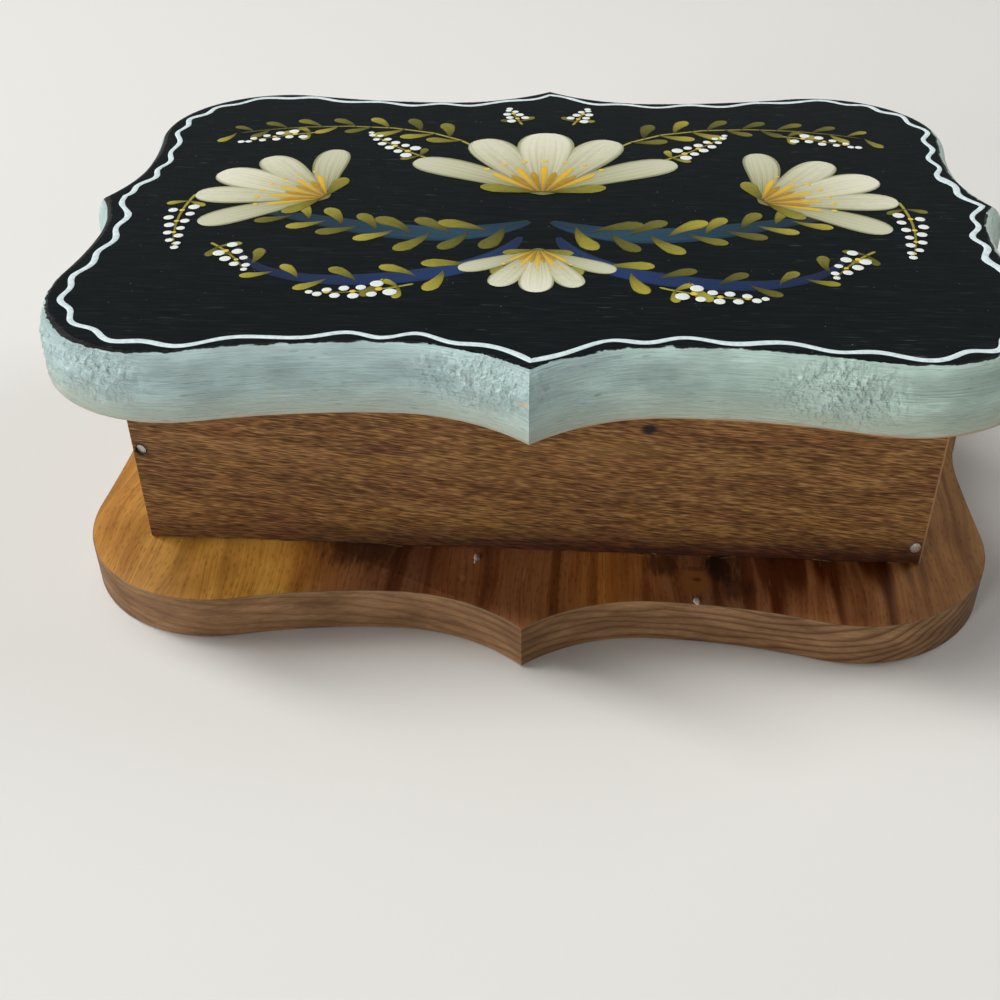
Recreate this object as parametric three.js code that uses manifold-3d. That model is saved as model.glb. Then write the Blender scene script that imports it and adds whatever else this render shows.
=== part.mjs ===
// A hand-made trinket box: four thin boards nailed up between two scalloped plaques.
// The lower plaque is the base. The upper one is the lid, on two small butt hinges at the back.
// Millimetres, +Z up, +X along the box, -Y the front. The origin is under the middle of the base.
import * as THREE from "three";
import { mergeVertices } from "three/addons/utils/BufferGeometryUtils.js";
import Module from "manifold-3d";

const wasm = await Module();
wasm.setup();

// The box between the plaques
const boxLength = 206.5;
const boxDepth = 131;
const wallHeight = 53.5;
const boardThickness = 6.4;

// The plaques' outline: rounded corner lobes, and on each side a middle point between two shallow
// waists. An overhang runs from the box's face to the lobes' reach. The long sides are alike.
const sideOverhang = 25.5;
const sideWaistDip = 6.4; // from the lobes' reach in to the waist
const sideWaistOffset = 33; // from the middle of the side to its waist
const sideCuspRise = 12.4; // from the waist out to the middle point
const endWaistOffset = 25;

// The ends were sawn by hand, and the base's came out shorter and straighter than the lid's
const lidCornerRadius = 37;
const lidEndOverhang = 19.75;
const lidEndWaistDip = 2.7;
const lidEndCuspRise = 6.7;
const baseCornerRadius = 38;
const baseEndOverhang = 18.75;
const baseEndWaistDip = 0.5;
const baseEndCuspRise = 5.5;

// The plaques' thickness and edges
const baseThickness = 12.7;
const lidThickness = 17.5;
const lidRoundDrop = 10; // how far down the lid's rounded top edge reaches
const lidRoundInset = 4.2; // how far it draws the flat top in
const plaqueArris = 0.6; // the small flat on a plaque's sharp edges
const lidClearance = 0.3; // the hinges hold the closed lid this far off the walls
const lidSetBack = 1.3; // the lid was screwed on this far to the back
const lidTurn = 1; // and turned this many degrees, its right end to the back

// Nails
const nailRadius = 0.8;
const nailHeadRadius = 1.4;
const nailHeadThickness = 0.7;
const nailNeck = 0.7; // the cone between head and shank
const nailPoint = 2.5;
const cornerNailLength = 25;
const cornerNailInset = 2.2; // from the box's end to the nail
const leftNailDrop = 24.7; // from the walls' top edge down to the left corner nails
const rightNailRise = 5.8; // from the walls' lower edge up to the right corner nails
const baseNailLength = 30;
const baseNailEndDistance = 28; // from the box's end to the outer nails under its front and back
const baseNailSet = 0.5; // the base nails' heads are punched in this far

// Hinges and their screws
const hingeEndDistance = 43; // from the box's end to the middle of each hinge
const hingeLength = 25.4;
const leafWidth = 9.5; // from the pin's axis to the leaf's free edge
const leafThickness = 1;
const knuckleRadius = 2.2;
const knuckleGap = 0.3; // between knuckles, and from them to the wood
const pinRadius = 0.9;
const pinClearance = 0.12;
const pinHeadRadius = 1.6;
const pinHeadFlatRadius = 1.1;
const pinHeadThickness = 0.5;
const screwRadius = 0.95;
const screwHeadRadius = 1.9;
const screwHeadDepth = 0.9;
const screwPoint = 1.6;
const screwTipCover = 1.4; // the wood left between a screw's point and the inside of the box
const screwEndDistance = 5.2; // from the leaf's end
const screwPinDistance = 5.9; // from the pin's axis
const slotWidth = 0.45;
const slotDepth = 0.45;

// Holes are larger than what they take by this much, and are cut this far past a surface
const holeClearance = 0.3;
const cutBeyond = 1;

// How many straight steps stand for each curve
const shortArcSteps = 5;
const longArcSteps = 7;
const cornerArcSteps = 13;
const lidRoundSteps = 5;
const nailFacets = 10;
const screwFacets = 12;
const hingeFacets = 16;

const stainedPine = { color: 0x9a6530, roughness: 0.6, metalness: 0 };
const stainedBoard = { color: 0x6b4a2f, roughness: 0.65, metalness: 0 };
const blackPaint = { color: 0x1c2022, roughness: 0.45, metalness: 0 };
const brass = { color: 0xb08d4a, roughness: 0.35, metalness: 1 };
const nailSteel = { color: 0x9a9890, roughness: 0.45, metalness: 1 };

const boardBottom = baseThickness;
const wallTop = boardBottom + wallHeight;
const lidBottom = wallTop + lidClearance;
const pinToWood = knuckleRadius + knuckleGap;
const pinY = boxDepth / 2 + pinToWood;
const pinZ = lidBottom - pinToWood;
const hingeOffset = boxLength / 2 - hingeEndDistance;
const lidOutline = {
  cornerRadius: lidCornerRadius,
  endOverhang: lidEndOverhang,
  endWaistDip: lidEndWaistDip,
  endCuspRise: lidEndCuspRise,
};
const baseOutline = {
  cornerRadius: baseCornerRadius,
  endOverhang: baseEndOverhang,
  endWaistDip: baseEndWaistDip,
  endCuspRise: baseEndCuspRise,
};

// A closed geometry as a solid that can be joined and cut
function solidOf(geometry) {
  const bare = geometry.clone();
  bare.deleteAttribute("normal");
  bare.deleteAttribute("uv");
  const merged = mergeVertices(bare, 1e-4);
  return new wasm.Manifold(
    new wasm.Mesh({
      numProp: 3,
      vertProperties: merged.attributes.position.array,
      triVerts: new Uint32Array(merged.index.array),
    }),
  );
}

function geometryOf(solid) {
  const mesh = solid.getMesh();
  const geometry = new THREE.BufferGeometry();
  geometry.setAttribute("position", new THREE.BufferAttribute(mesh.vertProperties, 3));
  geometry.setIndex(new THREE.BufferAttribute(mesh.triVerts, 1));
  geometry.computeVertexNormals();
  return geometry;
}

const cut = (solid, cutters) => cutters.reduce((left, cutter) => left.subtract(solidOf(cutter)), solid);

function pieceOf(name, geometry, finish) {
  const mesh = new THREE.Mesh(geometry, new THREE.MeshStandardMaterial(finish));
  mesh.name = name;
  return mesh;
}

// A box between two corners
function block(low, high) {
  const [x, y, z] = low.map((value, axis) => (value + high[axis]) / 2);
  const [width, depth, height] = low.map((value, axis) => high[axis] - value);
  return new THREE.BoxGeometry(width, depth, height).translate(x, y, z);
}

function arcPoints(centreX, centreY, radius, from, to, steps) {
  return Array.from({ length: steps + 1 }, (_, step) => {
    const angle = from + ((to - from) * step) / steps;
    return new THREE.Vector2(centreX + radius * Math.cos(angle), centreY + radius * Math.sin(angle));
  });
}

// Half of one side of the plaque, from its middle point to where its corner begins: a short
// hollow arc down to the waist, and a long one that runs on smoothly into the corner's circle.
// u runs along the side and v outward. Drawing the outline in keeps every arc's centre.
function halfSide(centreU, centreV, cornerRadius, waistDip, waistOffset, cuspRise, inset) {
  const waist = centreV + cornerRadius - waistDip;
  const shortRadius = (waistOffset ** 2 + cuspRise ** 2) / (2 * cuspRise);
  const reach = centreU - waistOffset;
  const longRadius = (reach ** 2 - 2 * cornerRadius * waistDip + waistDip ** 2) / (2 * waistDip);
  const shortV = waist + shortRadius;
  const longV = waist + longRadius;
  const tipAngle = Math.acos(waistOffset / (shortRadius + inset)) - Math.PI;
  const joinAngle = Math.atan2(centreV - longV, reach);
  const short = arcPoints(waistOffset, shortV, shortRadius + inset, tipAngle, -Math.PI / 2, shortArcSteps);
  const long = arcPoints(waistOffset, longV, longRadius + inset, -Math.PI / 2, joinAngle, longArcSteps);
  return { points: [...short, ...long.slice(1)], cornerAngle: joinAngle + Math.PI };
}

// A plaque's whole outline, anticlockwise, drawn in by inset all round
function plaqueOutline({ cornerRadius: radius, endOverhang, endWaistDip, endCuspRise }, inset) {
  const centreX = boxLength / 2 + endOverhang - radius;
  const centreY = boxDepth / 2 + sideOverhang - radius;
  const side = halfSide(centreX, centreY, radius, sideWaistDip, sideWaistOffset, sideCuspRise, inset);
  const end = halfSide(centreY, centreX, radius, endWaistDip, endWaistOffset, endCuspRise, inset);
  const endAngle = Math.PI / 2 - end.cornerAngle;
  const corner = arcPoints(centreX, centreY, radius - inset, side.cornerAngle, endAngle, cornerArcSteps);
  const endPoints = end.points.map(({ x, y }) => new THREE.Vector2(y, x)).reverse();
  const quarter = [...side.points, ...corner.slice(1, -1), ...endPoints];
  const mirrored = (points, signX, signY) =>
    points.slice(0, -1).map(({ x, y }) => new THREE.Vector2(x * signX, y * signY));
  const quarterBack = [...quarter].reverse();
  const clockwise = [
    ...mirrored(quarter, 1, 1),
    ...mirrored(quarterBack, 1, -1),
    ...mirrored(quarter, -1, -1),
    ...mirrored(quarterBack, -1, 1),
  ];
  return clockwise.reverse();
}

// A closed solid through levels of one outline, the lowest first
function lofted(shape, levels) {
  const rings = levels.map(({ inset, z }) => ({ outline: plaqueOutline(shape, inset), z }));
  const count = rings[0].outline.length;
  const positions = rings.flatMap(({ outline, z }) => outline.flatMap(({ x, y }) => [x, y, z]));
  const triangles = [];
  for (let start = 0; start < count * (rings.length - 1); start += count) {
    for (let i = 0; i < count; i++) {
      const a = start + i;
      const b = start + ((i + 1) % count);
      triangles.push([a, b, b + count], [a, b + count, a + count]);
    }
  }
  const topStart = count * (rings.length - 1);
  const floor = THREE.ShapeUtils.triangulateShape(rings[0].outline, []);
  const roof = THREE.ShapeUtils.triangulateShape(rings.at(-1).outline, []);
  floor.forEach(([a, b, c]) => triangles.push([a, c, b]));
  roof.forEach(([a, b, c]) => triangles.push([a + topStart, b + topStart, c + topStart]));
  const geometry = new THREE.BufferGeometry();
  geometry.setAttribute("position", new THREE.Float32BufferAttribute(positions, 3));
  geometry.setIndex(triangles.flat());
  return geometry;
}

function basePlaqueSolid() {
  return solidOf(
    lofted(baseOutline, [
      { inset: plaqueArris, z: 0 },
      { inset: 0, z: plaqueArris },
      { inset: 0, z: baseThickness - plaqueArris },
      { inset: plaqueArris, z: baseThickness },
    ]),
  );
}

// The lid's top edge is rounded by a quarter of an ellipse. The lid lies a little askew on the box.
function lidPlaqueSolid() {
  const lidTop = lidBottom + lidThickness;
  const levels = [
    { inset: plaqueArris, z: lidBottom },
    { inset: 0, z: lidBottom + plaqueArris },
  ];
  for (let step = 0; step <= lidRoundSteps; step++) {
    const angle = (step / lidRoundSteps) * (Math.PI / 2);
    const inset = lidRoundInset * (1 - Math.cos(angle));
    levels.push({ inset, z: lidTop - lidRoundDrop * (1 - Math.sin(angle)) });
  }
  const blank = lofted(lidOutline, levels);
  return solidOf(blank.rotateZ(THREE.MathUtils.degToRad(lidTurn)).translate(0, lidSetBack, 0));
}

// Turned pieces lie along -Y from the middle of their head
function turned(profile, facets) {
  return new THREE.LatheGeometry(
    profile.map(([radius, y]) => new THREE.Vector2(radius, y)),
    facets,
  );
}

function nailGeometry(length) {
  const neckTop = -nailHeadThickness;
  const profile = [
    [0, -length],
    [nailRadius, nailPoint - length],
    [nailRadius, neckTop - nailNeck],
    [nailHeadRadius, neckTop],
    [nailHeadRadius, 0],
    [0, 0],
  ];
  return turned(profile, nailFacets);
}

function nailHole(length) {
  const neckTop = -nailHeadThickness - holeClearance;
  const profile = [
    [0, -length - holeClearance],
    [nailRadius + holeClearance, nailPoint - length],
    [nailRadius + holeClearance, neckTop - nailNeck],
    [nailHeadRadius + holeClearance, neckTop],
    [nailHeadRadius + holeClearance, cutBeyond],
    [0, cutBeyond],
  ];
  return turned(profile, nailFacets);
}

const screwLength = leafThickness + boardThickness - screwTipCover;

function screwGeometry() {
  const profile = [
    [0, -screwLength],
    [screwRadius, screwPoint - screwLength],
    [screwRadius, -screwHeadDepth],
    [screwHeadRadius, 0],
    [0, 0],
  ];
  const slot = block(
    [-screwHeadRadius * 2, -slotDepth, -slotWidth / 2],
    [screwHeadRadius * 2, cutBeyond, slotWidth / 2],
  );
  return geometryOf(cut(solidOf(turned(profile, screwFacets)), [slot]));
}

function screwHole() {
  const profile = [
    [0, -screwLength - holeClearance],
    [screwRadius + holeClearance, screwPoint - screwLength],
    [screwRadius + holeClearance, -screwHeadDepth],
    [screwHeadRadius + holeClearance, 0],
    [screwHeadRadius + holeClearance, cutBeyond],
    [0, cutBeyond],
  ];
  return turned(profile, screwFacets);
}

// Where each nail and screw goes: the middle of its head, and the way that it is driven
const frontward = new THREE.Vector3(0, -1, 0);
const backward = new THREE.Vector3(0, 1, 0);
const upward = new THREE.Vector3(0, 0, 1);
const driveTurn = (way) => new THREE.Quaternion().setFromUnitVectors(frontward, way);

function holeAt(hole, { at, way }) {
  return hole.clone().applyQuaternion(driveTurn(way)).translate(at.x, at.y, at.z);
}

function fastenerAt(geometry, finish, { name, at, way }) {
  const mesh = pieceOf(name, geometry, finish);
  mesh.position.copy(at);
  mesh.quaternion.copy(driveTurn(way));
  return mesh;
}

const sides = [
  { side: "left", signX: -1 },
  { side: "right", signX: 1 },
];
const faces = [
  { face: "front", signY: -1, way: backward },
  { face: "back", signY: 1, way: frontward },
];

function cornerNails() {
  const heights = { left: wallTop - leftNailDrop, right: boardBottom + rightNailRise };
  return faces.flatMap(({ face, signY, way }) =>
    sides.map(({ side, signX }) => ({
      name: `corner_nail_${face}_${side}`,
      face,
      side,
      way,
      at: new THREE.Vector3(
        signX * (boxLength / 2 - cornerNailInset),
        (signY * boxDepth) / 2,
        heights[side],
      ),
    })),
  );
}

// Three base nails stand under the front board and three under the back, and one under each end
function baseNails() {
  const along = faces.flatMap(({ face, signY }) =>
    [-1, 0, 1].map((place) => ({
      name: `base_nail_${face}_${place + 2}`,
      board: face,
      x: place * (boxLength / 2 - baseNailEndDistance),
      y: (signY * (boxDepth - boardThickness)) / 2,
    })),
  );
  const across = sides.map(({ side, signX }) => ({
    name: `base_nail_${side}_end`,
    board: side,
    x: (signX * (boxLength - boardThickness)) / 2,
    y: 0,
  }));
  return [...along, ...across].map(({ name, board, x, y }) => ({
    name,
    board,
    way: upward,
    at: new THREE.Vector3(x, y, baseNailSet),
  }));
}

// Two screws go through each leaf, heads flush: into the back board, and up into the lid
function hingeScrews(leaf) {
  return sides.flatMap(({ side, signX }) =>
    [-1, 1].map((place) => {
      const x = signX * hingeOffset + place * (hingeLength / 2 - screwEndDistance);
      const onWall = new THREE.Vector3(x, boxDepth / 2 + leafThickness, pinZ - screwPinDistance);
      const onLid = new THREE.Vector3(x, pinY + screwPinDistance, lidBottom - leafThickness);
      return {
        name: `${side}_hinge_${leaf}_screw_${place < 0 ? 1 : 2}`,
        side,
        way: leaf === "wall" ? frontward : upward,
        at: leaf === "wall" ? onWall : onLid,
      };
    }),
  );
}

const cornerNailPlaces = cornerNails();
const baseNailPlaces = baseNails();
const wallScrewPlaces = hingeScrews("wall");
const lidScrewPlaces = hingeScrews("lid");

// The front and back boards run the full length, and the end boards fit between them
function longBoard({ face, signY }) {
  const outside = (signY * boxDepth) / 2;
  const inside = outside - signY * boardThickness;
  const board = block(
    [-boxLength / 2, Math.min(outside, inside), boardBottom],
    [boxLength / 2, Math.max(outside, inside), wallTop],
  );
  const holes = [
    ...cornerNailPlaces.filter((nail) => nail.face === face).map((nail) => holeAt(cornerHole, nail)),
    ...baseNailPlaces.filter((nail) => nail.board === face).map((nail) => holeAt(baseHole, nail)),
    ...(face === "back" ? wallScrewPlaces.map((screw) => holeAt(hingeHole, screw)) : []),
  ];
  return pieceOf(`${face}_board`, geometryOf(cut(solidOf(board), holes)), stainedBoard);
}

function endBoard({ side, signX }) {
  const outside = (signX * boxLength) / 2;
  const inside = outside - signX * boardThickness;
  const reach = boxDepth / 2 - boardThickness;
  const board = block(
    [Math.min(outside, inside), -reach, boardBottom],
    [Math.max(outside, inside), reach, wallTop],
  );
  const holes = [
    ...cornerNailPlaces.filter((nail) => nail.side === side).map((nail) => holeAt(cornerHole, nail)),
    ...baseNailPlaces.filter((nail) => nail.board === side).map((nail) => holeAt(baseHole, nail)),
  ];
  return pieceOf(`${side}_end_board`, geometryOf(cut(solidOf(board), holes)), stainedBoard);
}

// Each leaf is a plate with knuckles rolled round the pin. The wall leaf has the two outer
// knuckles and the lid leaf the middle one. The plate is made hanging down from the pin, with
// its wood side at backY, and each is cut clear of the other leaf's knuckles.
function cylinderAlongX(radius, fromX, toX) {
  return new THREE.CylinderGeometry(radius, radius, toX - fromX, hingeFacets)
    .rotateZ(Math.PI / 2)
    .translate((fromX + toX) / 2, 0, 0);
}

function leafSolid(backY, ownSpans, otherSpans) {
  const frontY = backY - Math.sign(backY) * leafThickness;
  const plate = block(
    [-hingeLength / 2, Math.min(backY, frontY), -leafWidth],
    [hingeLength / 2, Math.max(backY, frontY), 0],
  );
  const knuckles = ownSpans.map(([from, to]) => solidOf(cylinderAlongX(knuckleRadius, from, to)));
  const notches = otherSpans.map(([from, to]) =>
    block(
      [from - knuckleGap, -pinToWood - cutBeyond, -pinToWood],
      [to + knuckleGap, pinToWood + cutBeyond, cutBeyond],
    ),
  );
  const bore = cylinderAlongX(pinRadius + pinClearance, -hingeLength, hingeLength);
  const notched = cut(solidOf(plate), notches);
  return cut(knuckles.reduce((joined, knuckle) => joined.add(knuckle), notched), [bore]);
}

function hingeSpans() {
  const end = hingeLength / 2;
  const third = hingeLength / 6;
  const outer = [
    [-end, -third - knuckleGap / 2],
    [third + knuckleGap / 2, end],
  ];
  const middle = [[knuckleGap / 2 - third, third - knuckleGap / 2]];
  return { outer, middle };
}

function hingeLeaves({ side, signX }) {
  const { outer, middle } = hingeSpans();
  const x = signX * hingeOffset;
  const toHinge = ({ side: at }) => at === side;
  const wall = geometryOf(leafSolid(-pinToWood, outer, middle)).translate(x, pinY, pinZ);
  const lid = geometryOf(leafSolid(pinToWood, middle, outer)).rotateX(Math.PI / 2).translate(x, pinY, pinZ);
  const wallHoles = wallScrewPlaces.filter(toHinge).map((screw) => holeAt(hingeHole, screw));
  const lidHoles = lidScrewPlaces.filter(toHinge).map((screw) => holeAt(hingeHole, screw));
  return {
    wallLeaf: pieceOf(`${side}_hinge_wall_leaf`, geometryOf(cut(solidOf(wall), wallHoles)), brass),
    lidLeaf: pieceOf(`${side}_hinge_lid_leaf`, geometryOf(cut(solidOf(lid), lidHoles)), brass),
  };
}

function hingePin({ side, signX }) {
  const shankEnd = hingeLength / 2 + pinClearance;
  const headEnd = shankEnd + pinHeadThickness;
  const profile = [
    [0, -headEnd],
    [pinHeadFlatRadius, -headEnd],
    [pinHeadRadius, -shankEnd],
    [pinRadius, -shankEnd],
    [pinRadius, shankEnd],
    [pinHeadRadius, shankEnd],
    [pinHeadFlatRadius, headEnd],
    [0, headEnd],
  ];
  const pin = pieceOf(`${side}_hinge_pin`, turned(profile, hingeFacets), brass);
  pin.rotation.z = Math.PI / 2;
  pin.position.set(signX * hingeOffset, pinY, pinZ);
  return pin;
}

const cornerHole = nailHole(cornerNailLength);
const baseHole = nailHole(baseNailLength);
const hingeHole = screwHole();

const basePlaque = pieceOf(
  "base_plaque",
  geometryOf(cut(basePlaqueSolid(), baseNailPlaces.map((nail) => holeAt(baseHole, nail)))),
  stainedPine,
);
const lidPlaque = pieceOf(
  "lid_plaque",
  geometryOf(cut(lidPlaqueSolid(), lidScrewPlaces.map((screw) => holeAt(hingeHole, screw)))),
  blackPaint,
);

// What stands still
const box = new THREE.Group();
box.add(basePlaque, ...faces.map(longBoard), ...sides.map(endBoard));
const cornerNail = nailGeometry(cornerNailLength);
const baseNail = nailGeometry(baseNailLength);
const hingeScrew = screwGeometry();
box.add(...cornerNailPlaces.map((place) => fastenerAt(cornerNail, nailSteel, place)));
box.add(...baseNailPlaces.map((place) => fastenerAt(baseNail, nailSteel, place)));
box.add(...wallScrewPlaces.map((place) => fastenerAt(hingeScrew, brass, place)));

// What opens: this group turns about the hinge pins
const lid = new THREE.Group();
lid.position.set(0, pinY, pinZ);
lid.attach(lidPlaque);
lidScrewPlaces.forEach((place) => lid.attach(fastenerAt(hingeScrew, brass, place)));

for (const hinge of sides) {
  const { wallLeaf, lidLeaf } = hingeLeaves(hinge);
  box.add(wallLeaf, hingePin(hinge));
  lid.attach(lidLeaf);
}

const trinketBox = new THREE.Group();
trinketBox.add(box, lid);

export default trinketBox;
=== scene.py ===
import math
import random
import bpy
from mathutils import Matrix, Vector, noise


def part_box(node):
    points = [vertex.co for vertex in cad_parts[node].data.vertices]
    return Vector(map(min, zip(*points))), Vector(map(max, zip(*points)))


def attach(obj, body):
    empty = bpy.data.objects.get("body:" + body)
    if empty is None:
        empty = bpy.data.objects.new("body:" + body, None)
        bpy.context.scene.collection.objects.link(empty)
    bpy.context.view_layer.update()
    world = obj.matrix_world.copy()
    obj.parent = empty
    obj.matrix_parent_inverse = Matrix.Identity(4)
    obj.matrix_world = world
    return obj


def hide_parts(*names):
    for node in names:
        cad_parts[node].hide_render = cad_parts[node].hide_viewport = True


# A hand-made trinket box: nailed boards between two scalloped plaques, the upper one a painted lid.
# Metres, +Z up, +X along the box, -Y the front.
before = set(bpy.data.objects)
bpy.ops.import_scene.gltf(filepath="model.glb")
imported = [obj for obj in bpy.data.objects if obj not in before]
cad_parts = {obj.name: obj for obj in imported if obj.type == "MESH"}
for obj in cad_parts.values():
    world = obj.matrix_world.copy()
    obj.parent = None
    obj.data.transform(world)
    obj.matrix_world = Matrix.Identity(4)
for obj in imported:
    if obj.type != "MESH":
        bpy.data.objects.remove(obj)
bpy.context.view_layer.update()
mm = 0.001
print("frame loaded:", len(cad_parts), "nodes")


# Small tools for modelling

def deselectAll():
    if bpy.context.mode != "OBJECT":
        bpy.ops.object.mode_set(mode="OBJECT")
    bpy.ops.object.select_all(action="DESELECT")


def selectOnly(*pieces):
    deselectAll()
    for piece in pieces:
        piece.select_set(True)
    bpy.context.view_layer.objects.active = pieces[0]


def named(name):
    # the active object, under its own name
    piece = bpy.context.active_object
    piece.name = piece.data.name = name
    return piece


def startFrom(shape, name, **settings):
    # a primitive at its size and place, to be modelled further
    deselectAll()
    getattr(bpy.ops.mesh, f"primitive_{shape}_add")(**settings)
    return named(name)


def editMode(kind="FACE"):
    bpy.ops.object.mode_set(mode="EDIT")
    bpy.ops.mesh.select_mode(type=kind)


def pick(piece, kind, test):
    # leaves edit mode's selection on the faces whose middle and normal pass the test, or on the
    # edges whose two ends do
    bpy.ops.object.mode_set(mode="OBJECT")
    mesh = piece.data
    for part in (*mesh.vertices, *mesh.edges, *mesh.polygons):
        part.select = False
    for part in mesh.polygons if kind == "FACE" else mesh.edges:
        ends = [mesh.vertices[index].co for index in part.vertices]
        part.select = test(part.center, part.normal) if kind == "FACE" else test(*ends)
    editMode(kind)


def extrude(*move):
    bpy.ops.mesh.extrude_region_move(TRANSFORM_OT_translate={"value": move})


def applyModifier(piece, kind, **settings):
    selectOnly(piece)
    modifier = piece.modifiers.new(kind.title(), kind)
    for key, value in settings.items():
        setattr(modifier, key, value)
    bpy.ops.object.modifier_apply(modifier=modifier.name)


def combine(piece, other, operation="DIFFERENCE"):
    applyModifier(piece, "BOOLEAN", operation=operation, solver="EXACT", object=other)
    bpy.data.objects.remove(other)


def copyOf(piece, name):
    copy = piece.copy()
    copy.data = piece.data.copy()
    copy.name = copy.data.name = name
    bpy.context.scene.collection.objects.link(copy)
    return copy


def joinInto(name, pieces):
    selectOnly(*pieces)
    bpy.ops.object.join()
    return named(name)


def settle(piece):
    # its place goes into its mesh, and every face is turned outward
    selectOnly(piece)
    bpy.ops.object.transform_apply()
    editMode()
    bpy.ops.mesh.select_all(action="SELECT")
    bpy.ops.mesh.normals_make_consistent(inside=False)
    bpy.ops.object.mode_set(mode="OBJECT")


def dress(piece, body, materials, replaced=(), smoothAngle=35):
    settle(piece)
    for material in materials:
        piece.data.materials.append(material)
    bpy.ops.object.shade_smooth_by_angle(angle=math.radians(smoothAngle))
    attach(piece, body)
    if replaced:
        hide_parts(*replaced)
    print("made", piece.name, len(piece.data.polygons), "faces")


def flatPlace(node, axis, side):
    # the middle of a piece, brought out to one of its sides
    low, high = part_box(node)
    middle = (low + high) / 2
    middle[axis] = high[axis] if side > 0 else low[axis]
    return middle


# Small tools for materials

smooth = {"interpolation_type": "SMOOTHSTEP"}  # a Map Range node's
darken = {"blend_type": "MULTIPLY"}  # a Mix node's


def linearColour(code):
    # an sRGB hex value as the linear colour that Blender's sockets take
    shares = [int(code[start:start + 2], 16) / 255 for start in (1, 3, 5)]
    linear = [share / 12.92 if share <= 0.04045 else ((share + 0.055) / 1.055) ** 2.4 for share in shares]
    return (*linear, 1)


def feed(tree, socket, value):
    # value is a node, a socket, a hex colour or a plain value, and None leaves the socket as it is
    if isinstance(value, bpy.types.Node):
        value = value.outputs[0]
    if isinstance(value, bpy.types.NodeSocket):
        tree.links.new(value, socket)
    elif value is not None:
        socket.default_value = linearColour(value) if isinstance(value, str) else value


def addNode(tree, kind, *inputs, stops=(), **settings):
    # the inputs are in the order of the node's sockets, and stops are a colour ramp's
    node = tree.nodes.new("ShaderNode" + kind)
    for key, value in settings.items():
        setattr(node, key, value)
    for socket, value in zip(node.inputs, inputs):
        feed(tree, socket, value)
    for index, (place, code) in enumerate(stops):
        elements = node.color_ramp.elements
        element = elements[index] if index < 2 else elements.new(place)
        element.position = place
        element.color = linearColour(code)
    return node


def newMaterial(name, shift=(0, 0, 0)):
    # the material, its nodes and the place on the piece in millimetres
    material = bpy.data.materials.new(name)
    material.use_nodes = True
    tree = material.node_tree
    place = addNode(tree, "TexCoord").outputs["Object"]
    return material, tree, addNode(tree, "Mapping", place, shift, None, (1000, 1000, 1000))


def drawnNoise(tree, position, cell, detail=2.0, roughness=0.5):
    # noise whose cells have these lengths along the three axes
    scaled = addNode(tree, "VectorMath", position, [1 / length for length in cell], operation="MULTIPLY")
    return addNode(tree, "TexNoise", scaled, None, 1.0, detail, roughness)


def shaded(tree, colour, pattern, stops, share=1.0):
    # a colour darkened by a pattern's own ramp
    return addNode(tree, "MixRGB", share, colour, addNode(tree, "ValToRGB", pattern, stops=stops), **darken)


def laidOn(tree, colour, paint, where, start, end, most=1.0, **blend):
    # paint over a colour where a pattern passes from start to end, at most by this share
    share = addNode(tree, "MapRange", where, start, end, 0.0, most, **smooth)
    return addNode(tree, "MixRGB", share, colour, paint, **blend)


def distanceFrom(tree, position, middle, reach):
    # 1 on the rim of an ellipsoid
    away = addNode(tree, "VectorMath", position, middle, operation="SUBTRACT")
    shaped = addNode(tree, "VectorMath", away, [1 / length for length in reach], operation="MULTIPLY")
    return addNode(tree, "VectorMath", shaped, operation="LENGTH").outputs["Value"]


def spotted(tree, position, colour, spots, fray, fraying=0.8):
    # soft marks, each with its place, reach, colour, share and solid core, their rims frayed by a noise
    for place, reach, paint, share, core in spots:
        distance = distanceFrom(tree, position, place, reach)
        frayed = addNode(tree, "Math", fray, fraying, distance, operation="MULTIPLY_ADD")
        colour = laidOn(tree, colour, paint, frayed, 1.05 + fraying / 2, core - 0.4 + fraying / 2, share)
    return colour


def finishShader(tree, colour, roughness, gloss, height=None, relief=0.0, depth=0.2, metallic=0.0):
    # gloss is the specular level, and depth the relief's real height in millimetres
    bump = None
    if height is not None:
        bump = addNode(tree, "Bump", relief, depth * mm)
        feed(tree, bump.inputs["Height"], height)
    settings = {"Base Color": colour, "Roughness": roughness, "Specular IOR Level": gloss,
                "Metallic": metallic, "Normal": bump}
    for name, value in settings.items():
        feed(tree, tree.nodes["Principled BSDF"].inputs[name], value)


# The camera stands where the photograph was taken, in front of the box and looking down on it

photoView = {
    "place": (14.22 * mm, -330.96 * mm, 224.07 * mm),
    "down": 0.6317,  # radians
    "turn": 0.0813,
    "roll": -0.0137,
    "focalShare": 1.263,  # focal length over the picture's width
    "sensor": 36.0,
}


def makeCamera():
    camera = bpy.data.cameras.new("photoCamera")
    camera.sensor_width = photoView["sensor"]
    camera.lens = photoView["focalShare"] * photoView["sensor"]
    camera.clip_start = 0.01
    stand = bpy.data.objects.new("photoCamera", camera)
    bpy.context.scene.collection.objects.link(stand)
    turned = Matrix.Rotation(photoView["turn"], 4, "Z")
    tilted = Matrix.Rotation(math.pi / 2 - photoView["down"], 4, "X")
    rolled = Matrix.Rotation(photoView["roll"], 4, "Z")
    stand.matrix_world = Matrix.Translation(photoView["place"]) @ turned @ tilted @ rolled
    bpy.context.scene.camera = stand


# Light: a long soft lamp overhead that reaches out to the left, weak ones low on the left, low in
# front and on the right, and a dim room whose pale walls show only to the camera and in reflections

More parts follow.
